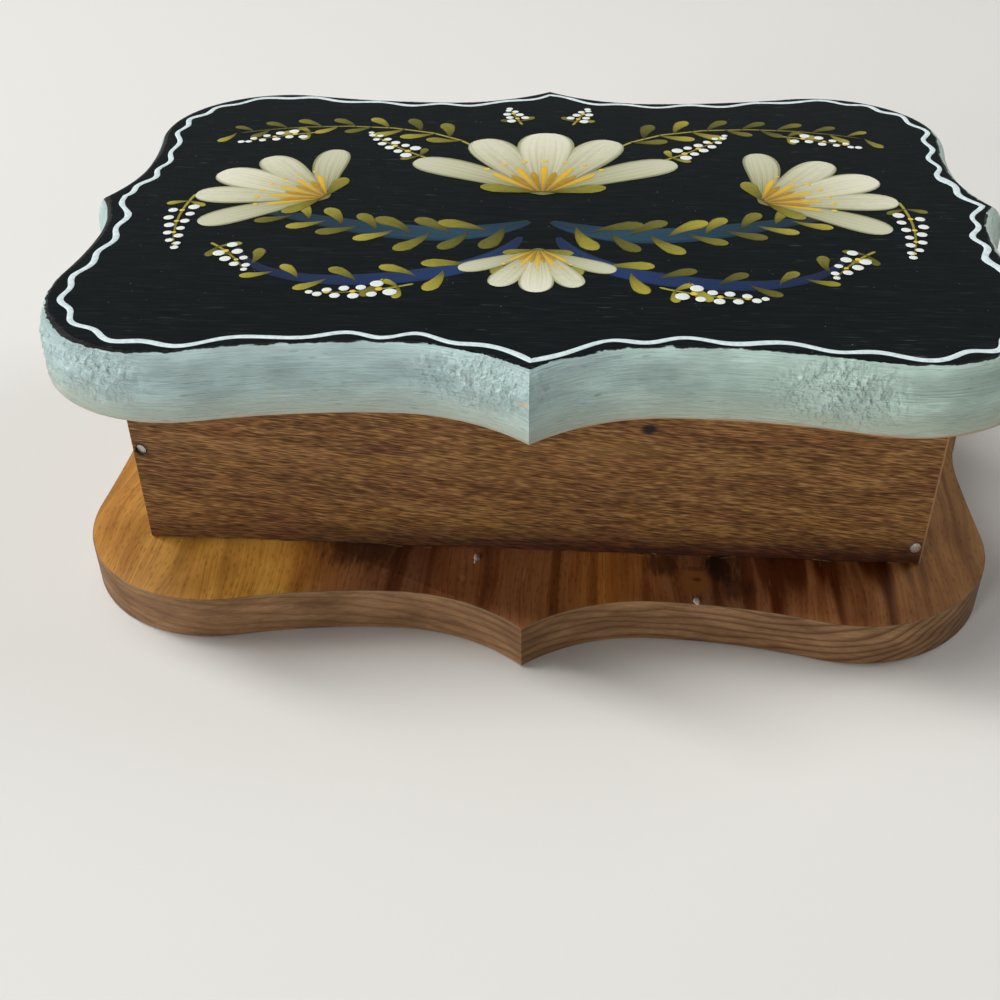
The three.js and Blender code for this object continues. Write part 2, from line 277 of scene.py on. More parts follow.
lighting = {
    "lamps": {  # place, width, length and power
        "keyLamp": ((-0.95, 0.42, 2.6), 0.45, 2.1, 57.0),
        "sideLamp": ((-2.1, 0.16, 0.95), 0.6, 0.6, 14.0),
        "fillLamp": ((-1.6, -2.4, 0.42), 0.5, 1.4, 43.0),
        "farLamp": ((1.7, 0.85, 1.6), 1.2, 1.2, 14.0),
    },
    # the sine of the height over the horizon, and the colour there
    "dimRoom": [(0.12, "#565655"), (0.5, "#505050")],
    "paleRoom": [(0.22, "#d9d7d2"), (0.5, "#505050")],
    "floorColour": "#e3e1dc",
    "floorReach": 5.0,
    "floorRoughness": 0.6,
    "floorGloss": 0.2,
}


def makeRoom():
    for name, (place, width, length, power) in lighting["lamps"].items():
        lamp = bpy.data.lights.new(name, "AREA")
        lamp.shape = "RECTANGLE"
        lamp.size, lamp.size_y, lamp.energy = width, length, power
        stand = bpy.data.objects.new(name, lamp)
        stand.location = place
        stand.rotation_euler = (-Vector(place)).to_track_quat("-Z", "Y").to_euler()
        bpy.context.scene.collection.objects.link(stand)
    world = bpy.data.worlds.new("paleRoom")
    world.use_nodes = True
    bpy.context.scene.world = world
    tree = world.node_tree
    height = addNode(tree, "SeparateXYZ", addNode(tree, "TexCoord").outputs["Generated"]).outputs["Z"]
    dim = addNode(tree, "ValToRGB", height, stops=lighting["dimRoom"])
    pale = addNode(tree, "ValToRGB", height, stops=lighting["paleRoom"])
    rays = addNode(tree, "LightPath").outputs
    seen = addNode(tree, "Math", rays["Is Camera Ray"], rays["Is Glossy Ray"], operation="ADD")
    seen = addNode(tree, "Math", seen, rays["Is Transmission Ray"], operation="ADD", use_clamp=True)
    shown = addNode(tree, "MixRGB", seen, dim, pale)
    feed(tree, tree.nodes["Background"].inputs["Color"], shown)
    floor = startFrom("plane", "floor", size=lighting["floorReach"])
    material, tree, position = newMaterial("paleTableTop")
    finishShader(tree, lighting["floorColour"], lighting["floorRoughness"], lighting["floorGloss"])
    floor.data.materials.append(material)


bpy.context.scene.view_settings.view_transform = "Standard"
makeCamera()
makeRoom()
print("camera, lamps and floor made")


# The plaques' outline: rounded corner lobes, and on each side a middle point between two shallow
# waists. Both plaques' long sides are alike, and the base's ends are shorter and straighter.

plaqueShapes = {
    "sideWaist": {"dip": 6.4 * mm, "offset": 33 * mm, "rise": 12.4 * mm},
    "lid_plaque": {
        "cornerRadius": 37 * mm,
        "endWaist": {"dip": 2.7 * mm, "offset": 25 * mm, "rise": 6.7 * mm},
        "turn": math.radians(1),  # the lid was screwed on a little askew
    },
    "base_plaque": {
        "cornerRadius": 38 * mm,
        "endWaist": {"dip": 0.5 * mm, "offset": 25 * mm, "rise": 5.5 * mm},
        "turn": 0.0,
    },
    "step": 1.3 * mm,
    "arris": 0.6 * mm,
    "topArris": 0.25 * mm,
    "nailSeat": {"vertices": 20, "radius": 1.7 * mm, "depth": 2.4 * mm},
}


def arc(centreU, centreV, radius, start, end, count):
    angles = [start + (end - start) * index / count for index in range(count + 1)]
    return [Vector((centreU + radius * math.cos(angle), centreV + radius * math.sin(angle)))
            for angle in angles]


def halfSide(centreU, centreV, cornerRadius, waist, inset, step):
    # from the side's middle point to its corner, u along the side and v outward
    dip, offset, rise = waist["dip"], waist["offset"], waist["rise"]
    waistV = centreV + cornerRadius - dip
    shortRadius = (offset ** 2 + rise ** 2) / (2 * rise)
    reach = centreU - offset
    longRadius = (reach ** 2 - 2 * cornerRadius * dip + dip ** 2) / (2 * dip)
    tipAngle = math.acos(offset / (shortRadius + inset)) - math.pi
    joinAngle = math.atan2(centreV - waistV - longRadius, reach)
    short = arc(offset, waistV + shortRadius, shortRadius + inset, tipAngle, -math.pi / 2,
                round(offset / step))
    long = arc(offset, waistV + longRadius, longRadius + inset, -math.pi / 2, joinAngle,
               round(reach / step))
    return short + long[1:], joinAngle + math.pi


def plaqueOutline(node, inset, step):
    # anticlockwise from the back's middle point, drawn in by inset all round, square and centred
    shape = plaqueShapes[node]
    low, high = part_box(node)
    half = (high - low) / 2 / math.cos(shape["turn"])
    cornerRadius = shape["cornerRadius"]
    sideWaist, endWaist = plaqueShapes["sideWaist"], shape["endWaist"]
    centreX = half.x - endWaist["rise"] + endWaist["dip"] - cornerRadius
    centreY = half.y - sideWaist["rise"] + sideWaist["dip"] - cornerRadius
    side, sideAngle = halfSide(centreX, centreY, cornerRadius, sideWaist, inset, step)
    end, endAngle = halfSide(centreY, centreX, cornerRadius, endWaist, inset, step)
    cornerCount = round(cornerRadius * (sideAngle + endAngle - math.pi / 2) / step)
    corner = arc(centreX, centreY, cornerRadius - inset, sideAngle, math.pi / 2 - endAngle, cornerCount)
    quarter = side + corner[1:-1] + [Vector((v, u)) for u, v in reversed(end)]
    outline = []
    for signX, signY in ((-1, 1), (-1, -1), (1, -1), (1, 1)):
        points = quarter[:-1] if signX != signY else quarter[:0:-1]
        outline += [Vector((signX * x, signY * y)) for x, y in points]
    return outline


def outlineRuns(outline):
    # how far along the outline each of its points is, and the whole way round
    runs = [0.0]
    for start, end in zip(outline, outline[1:] + outline[:1]):
        runs.append(runs[-1] + (end - start).length)
    return runs


def plaqueBlank(name, node, levels, step, share=None, drawnIn=0.0):
    # A closed solid through (inset, z) levels, the lowest first. share(run), from 0 to 1, draws
    # each place of the outline further in, up to drawnIn.
    outlines = [plaqueOutline(node, inset, step) for inset, z in levels]
    runs = outlineRuns(outlines[0])
    count = len(outlines[0])
    if share:
        for (inset, z), outline in zip(levels, outlines):
            deeper = plaqueOutline(node, inset + drawnIn, step)
            outline[:] = [point.lerp(further, share(run))
                          for point, further, run in zip(outline, deeper, runs)]
    blank = startFrom("circle", name, vertices=count, radius=outlines[0][0].length, fill_type="NGON")
    blank.data.attributes.new("outlineStep", "INT", "POINT").data.foreach_set("value", range(count))
    editMode()
    bpy.ops.mesh.select_all(action="SELECT")
    profile = [0.0]
    for (inset, z), (nextInset, nextZ) in zip(levels, levels[1:]):
        extrude(0, 0, 1)
        profile.append(profile[-1] + math.hypot(nextInset - inset, nextZ - z))
    bpy.ops.object.mode_set(mode="OBJECT")
    steps = blank.data.attributes["outlineStep"]
    places = [(step.value, round(vertex.co.z)) for step, vertex in zip(steps.data, blank.data.vertices)]
    for vertex, (place, level) in zip(blank.data.vertices, places):
        vertex.co = (*outlines[level][place], levels[level][1])
    blank.data.attributes.remove(steps)
    # the edge is unrolled as a UV map in metres, run along it and profile up it
    wrap = blank.data.uv_layers.new(name="edgeRun")
    for face in blank.data.polygons:
        around = [places[index][0] for index in face.vertices]
        seam = len(around) == 4 and max(around) - min(around) > count / 2
        for loop, index in zip(face.loop_indices, face.vertices):
            place, level = places[index]
            wrap.data[loop].uv = (runs[count if seam and place == 0 else place], profile[level])
    return blank


def edgeLevels(low, arris, top, rows):
    # a broken lower arris, then a straight wall in even rows
    return [(arris, low), (arris * 0.3, low + arris * 0.3), (0, low + arris)] + [
        (0, low + arris + (top - low - arris) * row / rows) for row in range(1, rows + 1)]


def layOnLid(piece):
    # what is modelled square takes the lid's own place and its slight turn
    low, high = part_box("lid_plaque")
    settle(piece)
    piece.rotation_euler.z = plaqueShapes["lid_plaque"]["turn"]
    piece.location = ((low.x + high.x) / 2, (low.y + high.y) / 2, 0)


# Pine, stained brown and varnished on the base's top. The grain runs from front to back, so the
# year rings are stripes on the faces, and smiles round the log's middle on the sawn edges.
# Cells and places are in millimetres.

pineLook = {
    "pith": (60, 92),  # x and z of the rings' centre
    "leftFlatness": 0.25,  # left of it the rings lie flatter
    "ringWidth": 2.3,
    "wander": 9.0,
    "ringWander": 6.0,
    "bend": 14,
    "stripe": (3.4, 170, 60),
    "fibre": (0.45, 22, 10),
    "pore": (0.9, 3.4, 2),
    "stripedFrom": (-65.0, -40.0),  # x where the stripes grow strong
    "wiped": "#b0834f",
    "wipedHalf": (100, 62),
    "tongueWidth": 5.0,
    "tongueBegins": (50.0, 64.0),  # x
    "tongueEnds": (112.0, 103.0),
    "tongueFoot": (-88.0, -64.0),  # y from the foot to the tips
    "tongue": "#9a7c6b",  # a multiplier
    "scratch": "#b8925c",
    "rubbed": "#b79c7c",
    # the stain from the left end to the right: x and the colour there
    "stain": [(-125, "#c08a3f"), (-97, "#d8a04a"), (-84, "#f2b756"), (-66, "#fcc05a"), (-60, "#d89c4c"),
              (-52, "#a87042"), (-40, "#85563a"), (-30, "#7d5238"), (-20, "#9c6541"), (-4, "#9c6742"),
              (10, "#a67043"), (22, "#c5823f"), (31, "#ab7040"), (40, "#956341"), (50, "#875a3f"),
              (62, "#a36b46"), (76, "#b1774b"), (92, "#b07a4c"), (108, "#bd8a4d"), (122, "#c09052")],
    "stripes": [(0.3, "#a98d76"), (0.42, "#ddcdbc"), (0.52, "#fbf7f1"), (0.7, "#ffffff")],
    # the knot, the dark run of stain beside it and the pooled stain in the middle: place, reach,
    # colour, share and core
    "marks": [((51, -69, 12.7), (6.5, 9, 4), "#24140f", 0.9, 0.75),
              ((54, -78, 12.7), (6, 7, 4), "#3a2015", 0.7, 0.75),
              ((36, -69, 12.7), (6, 7, 4), "#3a2114", 0.75, 0.75),
              ((44, -76, 12.7), (4.6, 7.2, 4), "#8f5a27", 0.85, 0.75),
              ((44.5, -70.6, 12.7), (3.4, 1.4, 2), "#5a3218", 0.7, 0.75),
              ((44.5, -75, 12.7), (1.5, 1.0, 2), "#512b13", 0.8, 0.75),
              ((-44, -68, 12.7), (16, 10, 4), "#331c13", 0.74, 0.75),
              ((-16.5, -78, 12.7), (0.9, 1.5, 2), "#a5793f", 0.6, 0.75)],
    "late": [(0.0, "#8f7d70"), (0.14, "#f2eee9"), (0.55, "#ffffff"), (0.84, "#c9bdb1"), (0.97, "#8a776a")],
    "sawn": [(0.32, "#7c5b3d"), (0.5, "#906d4b"), (0.68, "#a5805a")],
    "dry": [(0.34, "#7d5a34"), (0.5, "#9b7444"), (0.66, "#b28a56")],
}


def varnishedPineMaterial():
    # Oil stain that took unevenly under a thin varnish: soft brown stripes, golden at the left
    look = pineLook
    material, tree, position = newMaterial("varnishedPineFace")
    axes = addNode(tree, "SeparateXYZ", position).outputs
    wander = drawnNoise(tree, position, (9, 30, 20))
    wandered = addNode(tree, "Math", wander, look["wander"], axes["X"], operation="MULTIPLY_ADD")
    left, right = look["stain"][0][0], look["stain"][-1][0]
    along = addNode(tree, "MapRange", wandered, left + look["wander"] / 2, right + look["wander"] / 2)
    stops = [((x - left) / (right - left), code) for x, code in look["stain"]]
    colour = addNode(tree, "ValToRGB", along, stops=stops)
    # between the boards the stain was wiped thinner and more evenly
    halfX, halfY = look["wipedHalf"]
    inside = addNode(tree, "VectorMath", position, (1 / halfX, 1 / halfY, 0), operation="MULTIPLY")
    sides = addNode(tree, "SeparateXYZ", addNode(tree, "VectorMath", inside, operation="ABSOLUTE")).outputs
    furthest = addNode(tree, "Math", sides["X"], sides["Y"], operation="MAXIMUM")
    colour = laidOn(tree, colour, look["wiped"], furthest, 1.0, 0.98, 0.62)
    # stripes, fibres and pores follow the bent grain
    bend = addNode(tree, "CombineXYZ", drawnNoise(tree, position, (25, 70, 25), 1.0))
    bent = addNode(tree, "VectorMath", bend, (look["bend"], 0, 0), position, operation="MULTIPLY_ADD")
    striped = addNode(tree, "MapRange", axes["X"], *look["stripedFrom"], 0.4, 0.85, **smooth)
    colour = shaded(tree, colour, drawnNoise(tree, bent, look["stripe"], 1.5), look["stripes"], striped)
    fibres = drawnNoise(tree, bent, look["fibre"], 2.0, 0.6)
    colour = shaded(tree, colour, fibres, [(0.3, "#d8ccc0"), (0.55, "#ffffff")], 0.8)
    pored = addNode(tree, "VectorMath", bent, [1 / length for length in look["pore"]], operation="MULTIPLY")
    pores = addNode(tree, "TexVoronoi", pored, None, 1.0)
    colour = shaded(tree, colour, pores, [(0.12, "#b89c80"), (0.42, "#ffffff")], 0.45)
    # on the right the stain ran out in tongues from the boards' foot
    tongues = drawnNoise(tree, bent, (look["tongueWidth"], 80, 60), 1.0)
    fromFoot = addNode(tree, "MapRange", axes["Y"], *look["tongueFoot"], 0.1, -0.1, **smooth)
    shortened = addNode(tree, "Math", tongues, fromFoot, operation="ADD")
    begun = addNode(tree, "MapRange", axes["X"], *look["tongueBegins"], 0.0, 1.0, **smooth)
    toRight = addNode(tree, "MapRange", axes["X"], *look["tongueEnds"], 0.0, begun, **smooth)
    colour = laidOn(tree, colour, look["tongue"], shortened, 0.57, 0.4, toRight, **darken)
    blotches = drawnNoise(tree, position, (16, 24, 20))
    colour = shaded(tree, colour, blotches, [(0.35, "#dfd3c8"), (0.52, "#ffffff")], 0.7)
    streaky = drawnNoise(tree, bent, (1.3, 8, 6), 3.0, 0.6)
    colour = spotted(tree, position, colour, look["marks"], streaky, 1.3)
    scratches = drawnNoise(tree, position, (0.4, 9, 9), 0.0)
    colour = laidOn(tree, colour, look["scratch"], scratches, 0.8, 0.88, 0.4)
    roughness = addNode(tree, "MapRange", fibres, 0.3, 0.7, 0.36, 0.5, **smooth)
    finishShader(tree, colour, roughness, 0.16, fibres, 0.12)
    return material


def sawnPineMaterial():
    # Band-sawn, sanded and only wiped with stain: matt grey-brown, the rings as thin soft lines
    look = pineLook
    material, tree, position = newMaterial("sandedPineEdge")
    axes = addNode(tree, "SeparateXYZ", position).outputs
    fromPith = addNode(tree, "Math", axes["X"], look["pith"][0], operation="SUBTRACT")
    flattened = addNode(tree, "Math", fromPith, look["leftFlatness"], operation="MULTIPLY")
    across = addNode(tree, "Math", fromPith, flattened, operation="MAXIMUM")
    below = addNode(tree, "Math", axes["Z"], look["pith"][1], operation="SUBTRACT")
    section = addNode(tree, "CombineXYZ", across, below)
    radius = addNode(tree, "VectorMath", section, operation="LENGTH").outputs["Value"]
    wander = drawnNoise(tree, position, (28, 40, 7), 1.0)
    waved = addNode(tree, "Math", wander, look["ringWander"], radius, operation="MULTIPLY_ADD")
    rings = addNode(tree, "Math", waved, look["ringWidth"], operation="DIVIDE")
    year = addNode(tree, "Math", rings, operation="FRACT")
    colour = addNode(tree, "ValToRGB", drawnNoise(tree, position, (18, 18, 6)), stops=look["sawn"])
    strength = addNode(tree, "MapRange", axes["X"], -60.0, 95.0, 0.4, 0.8, **smooth)
    colour = shaded(tree, colour, year, look["late"], strength)
    fibres = drawnNoise(tree, position, (3.2, 3.2, 0.35), 3.0, 0.6)
    colour = shaded(tree, colour, fibres, [(0.3, "#c4b8ae"), (0.65, "#ffffff")], 0.7)
    # the upper arris is rubbed pale
    arris = addNode(tree, "Math", fibres, 0.8, axes["Z"], operation="MULTIPLY_ADD")
    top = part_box("base_plaque")[1].z / mm
    colour = laidOn(tree, colour, look["rubbed"], arris, top - 0.2, top + 0.2, 0.15)
    finishShader(tree, colour, 0.66, 0.25, fibres, 0.35, 0.15)
    return material


def wipedPineMaterial():
    # The plaques' undersides: the same pine with a thin wiped coat, dry to look at
    material, tree, position = newMaterial("wipedPineUnderside", (37, 11, 0))
    stripes = drawnNoise(tree, position, (3.6, 160, 60))
    fibres = drawnNoise(tree, position, (0.45, 24, 10))
    colour = addNode(tree, "ValToRGB", stripes, stops=pineLook["dry"])
    colour = shaded(tree, colour, fibres, [(0.3, "#d0c4b8"), (0.62, "#ffffff")], 0.8)
    finishShader(tree, colour, 0.6, 0.3, fibres, 0.2)
    return material


def basePlaque(wipedPine):
    low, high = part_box("base_plaque")
    arris, sharp = plaqueShapes["arris"], plaqueShapes["topArris"]
    levels = edgeLevels(low.z, arris, high.z - sharp, 4)
    levels += [(sharp * 0.3, high.z - sharp * 0.3), (sharp, high.z)]
    plaque = plaqueBlank("basePlaque", "base_plaque", levels, plaqueShapes["step"])
    settle(plaque)
    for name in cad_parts:
        if name.startswith("base_nail"):
            combine(plaque, startFrom("cylinder", "nailSeat", location=flatPlace(name, 2, -1),
                                      **plaqueShapes["nailSeat"]))
    for material in (varnishedPineMaterial(), sawnPineMaterial(), wipedPine):
        plaque.data.materials.append(material)
    for face in plaque.data.polygons:
        isTop = face.normal.z > 0.99 and face.center.z > high.z / 2
        isUnderside = face.center.z < low.z + 2 * mm and len(face.vertices) != 4
        face.material_index = 0 if isTop else 2 if isUnderside else 1
    dress(plaque, "case", [], ["base_plaque"])


# Boards of luan, a coarse tropical wood: its open pores hold the brown stain as short dark
# dashes, about a millimetre apart

boardLook = {
    "tones": [(0.34, "#4b2d12"), (0.45, "#664523"), (0.55, "#805a31"), (0.68, "#a07b49")],
    "hues": [(0.3, "#ffece7"), (0.5, "#fffcf6"), (0.7, "#fff6d8")],
    "low": "#8f6858",  # the stain pooled along the lower edge, as a multiplier
    "lowReach": 9,  # millimetres
    "pooledFrom": (-95.0, 20.0),
    "bend": (60, 18, 18),
    "band": (38, 4.5, 4.5),
    "hue": (22, 5, 5),
    "grainFall": math.radians(5.5),  # the grain runs down to the right
    "dash": (4.4, 0.36, 0.36),  # the pores' length, width and depth
    "fibre": (2.4, 0.24, 0.24),
    "rubbed": "#b08a63",
    # where a nail blackened the wood, darkened further as painted shade of its sunk seat, a pale run of
    # grain, a knot and its pith
    "iron": ((2.3, 3, 2.3), "#231a15", 1.0, 0.75),
    "frontMarks": [((22, -65.5, 46), (20, 3, 3.4), "#94703c", 0.4, 0.2),
                   ((30, -65.5, 52.6), (5.2, 3, 3.4), "#43291a", 0.75, 0.3),
                   ((30, -65.5, 52.6), (2.4, 3, 1.9), "#17110e", 1.0, 0.7)],
    "arris": 0.3 * mm,
    "seat": {"vertices": 24, "radius1": 1.75 * mm, "radius2": 1.5 * mm, "depth": 1.6 * mm},
    "tornDepth": 0.55 * mm,
    "tornCuts": 190,
}


def boardMaterial(name, node, alongY, spots):
    look = boardLook
    low, high = (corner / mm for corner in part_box(node))
    material, tree, position = newMaterial(name)
    axes = addNode(tree, "SeparateXYZ", position).outputs
    grain = addNode(tree, "Mapping", position, (low.x * 0.7, low.y * 1.3, 0),
                    (0, -look["grainFall"], math.pi / 2 if alongY else 0))
    bend = drawnNoise(tree, grain, look["bend"], 1.0)
    bend = addNode(tree, "CombineXYZ", None, bend, bend)
    bent = addNode(tree, "VectorMath", bend, (0, 3, 3), grain, operation="MULTIPLY_ADD")
    moved = addNode(tree, "VectorMath", bent, (13, 7, 31), operation="ADD")
    pores = addNode(tree, "MixRGB", 0.4, drawnNoise(tree, bent, look["dash"], 0.5),
                    drawnNoise(tree, moved, look["fibre"], 0.5))
    bands = drawnNoise(tree, bent, look["band"])
    bandLift = addNode(tree, "MapRange", bands, 0.3, 0.7, -0.045, 0.045, **smooth)
    tone = addNode(tree, "Math", pores, bandLift, operation="ADD")
    colour = addNode(tree, "ValToRGB", tone, stops=look["tones"])
    colour = shaded(tree, colour, drawnNoise(tree, bent, look["hue"]), look["hues"])
    pooled = addNode(tree, "MapRange", axes["X"], *look["pooledFrom"], 0.55, 1.0, **smooth)
    colour = laidOn(tree, colour, look["low"], axes["Z"], low.z + look["lowReach"], low.z + 1, pooled,
                    **darken)
    colour = spotted(tree, position, colour, spots, pores)
    if node == "front_board":
        # the arris where the board's face meets its right end, rubbed pale by handling
        toEnd = addNode(tree, "Math", axes["X"], high.x, operation="SUBTRACT")
        distance = addNode(tree, "Math", toEnd, operation="ABSOLUTE")
        frayed = addNode(tree, "Math", pores, 0.7, distance, operation="MULTIPLY_ADD")
        colour = laidOn(tree, colour, look["rubbed"], frayed, 1.0, 0.5, 0.75)
    roughness = addNode(tree, "MapRange", tone, 0.3, 0.7, 0.74, 0.56, **smooth)
    finishShader(tree, colour, roughness, 0.3, tone, 0.5, 0.14)
    return material


def tearLowerEdge(board, low):
    # the saw tore the front board's lower edge a little
    pick(board, "EDGE", lambda start, end: abs(start.x - end.x) > 20 * mm)
    bpy.ops.mesh.subdivide(number_cuts=boardLook["tornCuts"])
    bpy.ops.object.mode_set(mode="OBJECT")
    for vertex in board.data.vertices:
        if vertex.co.z < low.z + 0.4 * mm and vertex.co.y < low.y + 1 * mm:
            along = vertex.co.x / mm
            slow, quick = noise.noise(Vector((along * 0.31, 0, 0))), noise.noise(Vector((along, 4, 0)))
            vertex.co.z += max(0.0, 0.5 + 0.8 * slow + 0.6 * quick) * boardLook["tornDepth"]


def addBlock(low, high, name="block"):
    block = startFrom("cube", name, size=1, location=(low + high) / 2)
    block.scale = high - low
    bpy.ops.object.transform_apply()
    return block


def makeBoard(node, face):
    # face is where the corner nails' heads are: -1 the front, 1 the back, 0 none
    low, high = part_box(node)
    board = addBlock(low, high, node.replace("_board", "Board").replace("_end", "End"))
    editMode()
    bpy.ops.mesh.select_all(action="SELECT")
    bpy.ops.mesh.bevel(offset=boardLook["arris"], segments=2)
    bpy.ops.object.mode_set(mode="OBJECT")
    if face < 0:
        tearLowerEdge(board, low)
    spots = []
    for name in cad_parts:
        if face and name.startswith("corner_nail_" + node.split("_")[0]):
            place = flatPlace(name, 1, face)
            # a dark ring round the nail head: iron stain, and painted shade of the seat it is driven into
            spots.append((place / mm, *boardLook["iron"]))
            if name.endswith("left"):
                combine(board, startFrom("cone", "nailSeat", location=place,
                                         rotation=(face * math.pi / 2, 0, 0), **boardLook["seat"]))
    if face < 0:
        spots = spots[:1] + boardLook["frontMarks"]
    material = boardMaterial(board.name + "StainedLuan", node, "end" in node, spots)
    dress(board, "case", [material], [node], 20)


wipedPine = wipedPineMaterial()
basePlaque(wipedPine)
for node, face in (("front_board", -1), ("back_board", 1), ("left_end_board", 0), ("right_end_board", 0)):
    makeBoard(node, face)


# Wire nails: the front left one was driven at a slant below the face, the front right one stands
# a little proud

nailShape = {
    "headRadius": 1.4 * mm,
    "headThickness": 0.7 * mm,
    "neck": 0.7 * mm,
    "shankRadius": 0.8 * mm,
    "point": 2.5 * mm,
    "crown": ((0.3 * mm, 0.098 * mm), (0.5 * mm, 0.042 * mm)),  # insets and rises of the domed head
    "sunk": 0.02 * mm,
    "tones": [(0.35, "#8d8a85"), (0.55, "#bdbbb5"), (0.7, "#d6d5d0")],
    "settings": {  # how far each head is driven in, and its slant about X and Z
        "corner_nail_front_left": (0.28 * mm, 0.2, -0.3),
        "corner_nail_front_right": (-0.3 * mm, -0.12, 0.2),
    },
}


def steelMaterial():
    # Bright drawn wire, dulled by a thin grey oxide, with scuffs from the hammer
    material, tree, position = newMaterial("dulledWireSteel")
    scuffs = drawnNoise(tree, position, (0.5, 0.5, 0.5))
    colour = addNode(tree, "ValToRGB", scuffs, stops=nailShape["tones"])
    roughness = addNode(tree, "MapRange", scuffs, 0.3, 0.7, 0.5, 0.36, **smooth)
    finishShader(tree, colour, roughness, 0.5, scuffs, 0.4, 0.08, 0.75)
    return material


def headBlank(name, radius, thickness):
    # upright, the middle of its top at the origin
    blank = startFrom("cylinder", name, vertices=24, radius=radius, depth=thickness,
                      location=(0, 0, -thickness / 2))
    bpy.ops.object.transform_apply()
    return blank


def drawPoint(straight, point):
    # a shank and its point, drawn down from the selected face
    extrude(0, 0, -straight)
    extrude(0, 0, -point)
    bpy.ops.mesh.merge(type="CENTER")


def nailBlank(name, length):
    shape = nailShape
    nail = headBlank(name, shape["headRadius"], shape["headThickness"])
    pick(nail, "FACE", lambda centre, normal: normal.z > 0.9)
    for inset, rise in shape["crown"]:
        bpy.ops.mesh.inset(thickness=inset)
        bpy.ops.transform.translate(value=(0, 0, rise))
    pick(nail, "FACE", lambda centre, normal: normal.z < -0.9)
    bpy.ops.mesh.inset(thickness=shape["headRadius"] - shape["shankRadius"])
    bpy.ops.transform.translate(value=(0, 0, -shape["neck"]))
    drawPoint(length - shape["headThickness"] - shape["neck"] - shape["point"], shape["point"])
    bpy.ops.object.mode_set(mode="OBJECT")
    return nail


def makeNails():
    steel = steelMaterial()
    blanks = {}
    for node in [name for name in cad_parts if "nail" in name]:
        low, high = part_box(node)
        kind, axis = ("corner", 1) if node.startswith("corner") else ("base", 2)
        if kind not in blanks:
            blanks[kind] = nailBlank(kind + "NailBlank", high[axis] - low[axis])
        side = 1 if "back" in node and kind == "corner" else -1
        sunk, slantX, slantZ = nailShape["settings"].get(node, (nailShape["sunk"], 0.0, 0.0))
        first, *others = node.split("_")
        nail = copyOf(blanks[kind], first + "".join(word.title() for word in others))
        place = flatPlace(node, axis, side)
        place[axis] -= side * sunk
        nail.location = place
        turned = (math.pi / 2 * -side + slantX, 0, slantZ)
        nail.rotation_euler = turned if kind == "corner" else (math.pi, 0, 0)
        dress(nail, "case", [steel], [node])
    for blank in blanks.values():
        bpy.data.objects.remove(blank)


makeNails()


# Small butt hinges in tarnished brass, each leaf held by two slotted screws

hingeShape = {
    "thickness": 1 * mm,
    "barrelRadius": 2.2 * mm,
    "boreRadius": 1.02 * mm,
    "gap": 0.3 * mm,
    "cornerRound": 1.8 * mm,
    "arris": 0.1 * mm,
    "pinRadius": 0.9 * mm,
    "pinHeadRadius": 1.6 * mm,
    "pinHeadLength": 0.5 * mm,
    "pinHeadRound": 0.32 * mm,
    "screwHeadRadius": 1.9 * mm,
    "screwHeadDepth": 0.9 * mm,
    "screwRadius": 0.95 * mm,
    "screwPoint": 1.6 * mm,
    "seatRadius": 2.02 * mm,
    "seatDepth": 3 * mm,
    "slot": 0.45 * mm,
    # how far the screws' slots are turned: the first one, each further one and those on the left
    "slotTurn": (1.8, 1.3, 0.9),
    "tones": [(0.34, "#6d5227"), (0.5, "#a2813f"), (0.66, "#c0a05a")],
}


def brassMaterial():
    # Stamped and plated brass that has dulled: warm, brownish in the hollows, brushed by the rollers
    material, tree, position = newMaterial("tarnishedStampedBrass")
    brushed = drawnNoise(tree, position, (6, 0.25, 0.25))
    tarnish = drawnNoise(tree, position, (4, 4, 4), 3.0)
    colour = addNode(tree, "ValToRGB", tarnish, stops=hingeShape["tones"])
    colour = shaded(tree, colour, brushed, [(0.3, "#cfc8bc"), (0.6, "#ffffff")], 0.6)
    roughness = addNode(tree, "MapRange", tarnish, 0.3, 0.7, 0.5, 0.3, **smooth)
    finishShader(tree, colour, roughness, 0.5, brushed, 0.15, 0.05, 1.0)
    return material


def addRod(radius, start, end):
    # a cylinder along X between two places
    return startFrom("cylinder", "rod", vertices=32, radius=radius, depth=end.x - start.x,
                     location=(start + end) / 2, rotation=(0, math.pi / 2, 0))


def screwBlank():
    shape = hingeShape
    low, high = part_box("left_hinge_wall_screw_1")
    screw = headBlank("screwBlank", shape["screwHeadRadius"], shape["screwHeadDepth"])
    pick(screw, "FACE", lambda centre, normal: normal.z < -0.9)
    bpy.ops.transform.resize(value=(shape["screwRadius"] / shape["screwHeadRadius"],) * 2 + (1,))
    drawPoint(high.y - low.y - shape["screwHeadDepth"] - shape["screwPoint"], shape["screwPoint"])
    pick(screw, "EDGE", lambda start, end: start.z > -0.01 * mm and end.z > -0.01 * mm)
    bpy.ops.mesh.bevel(offset=shape["arris"], segments=2)
    bpy.ops.object.mode_set(mode="OBJECT")
    half = Vector((shape["screwHeadRadius"] * 1.5, shape["slot"] / 2, shape["slot"]))
    combine(screw, addBlock(-half, half))
    return screw


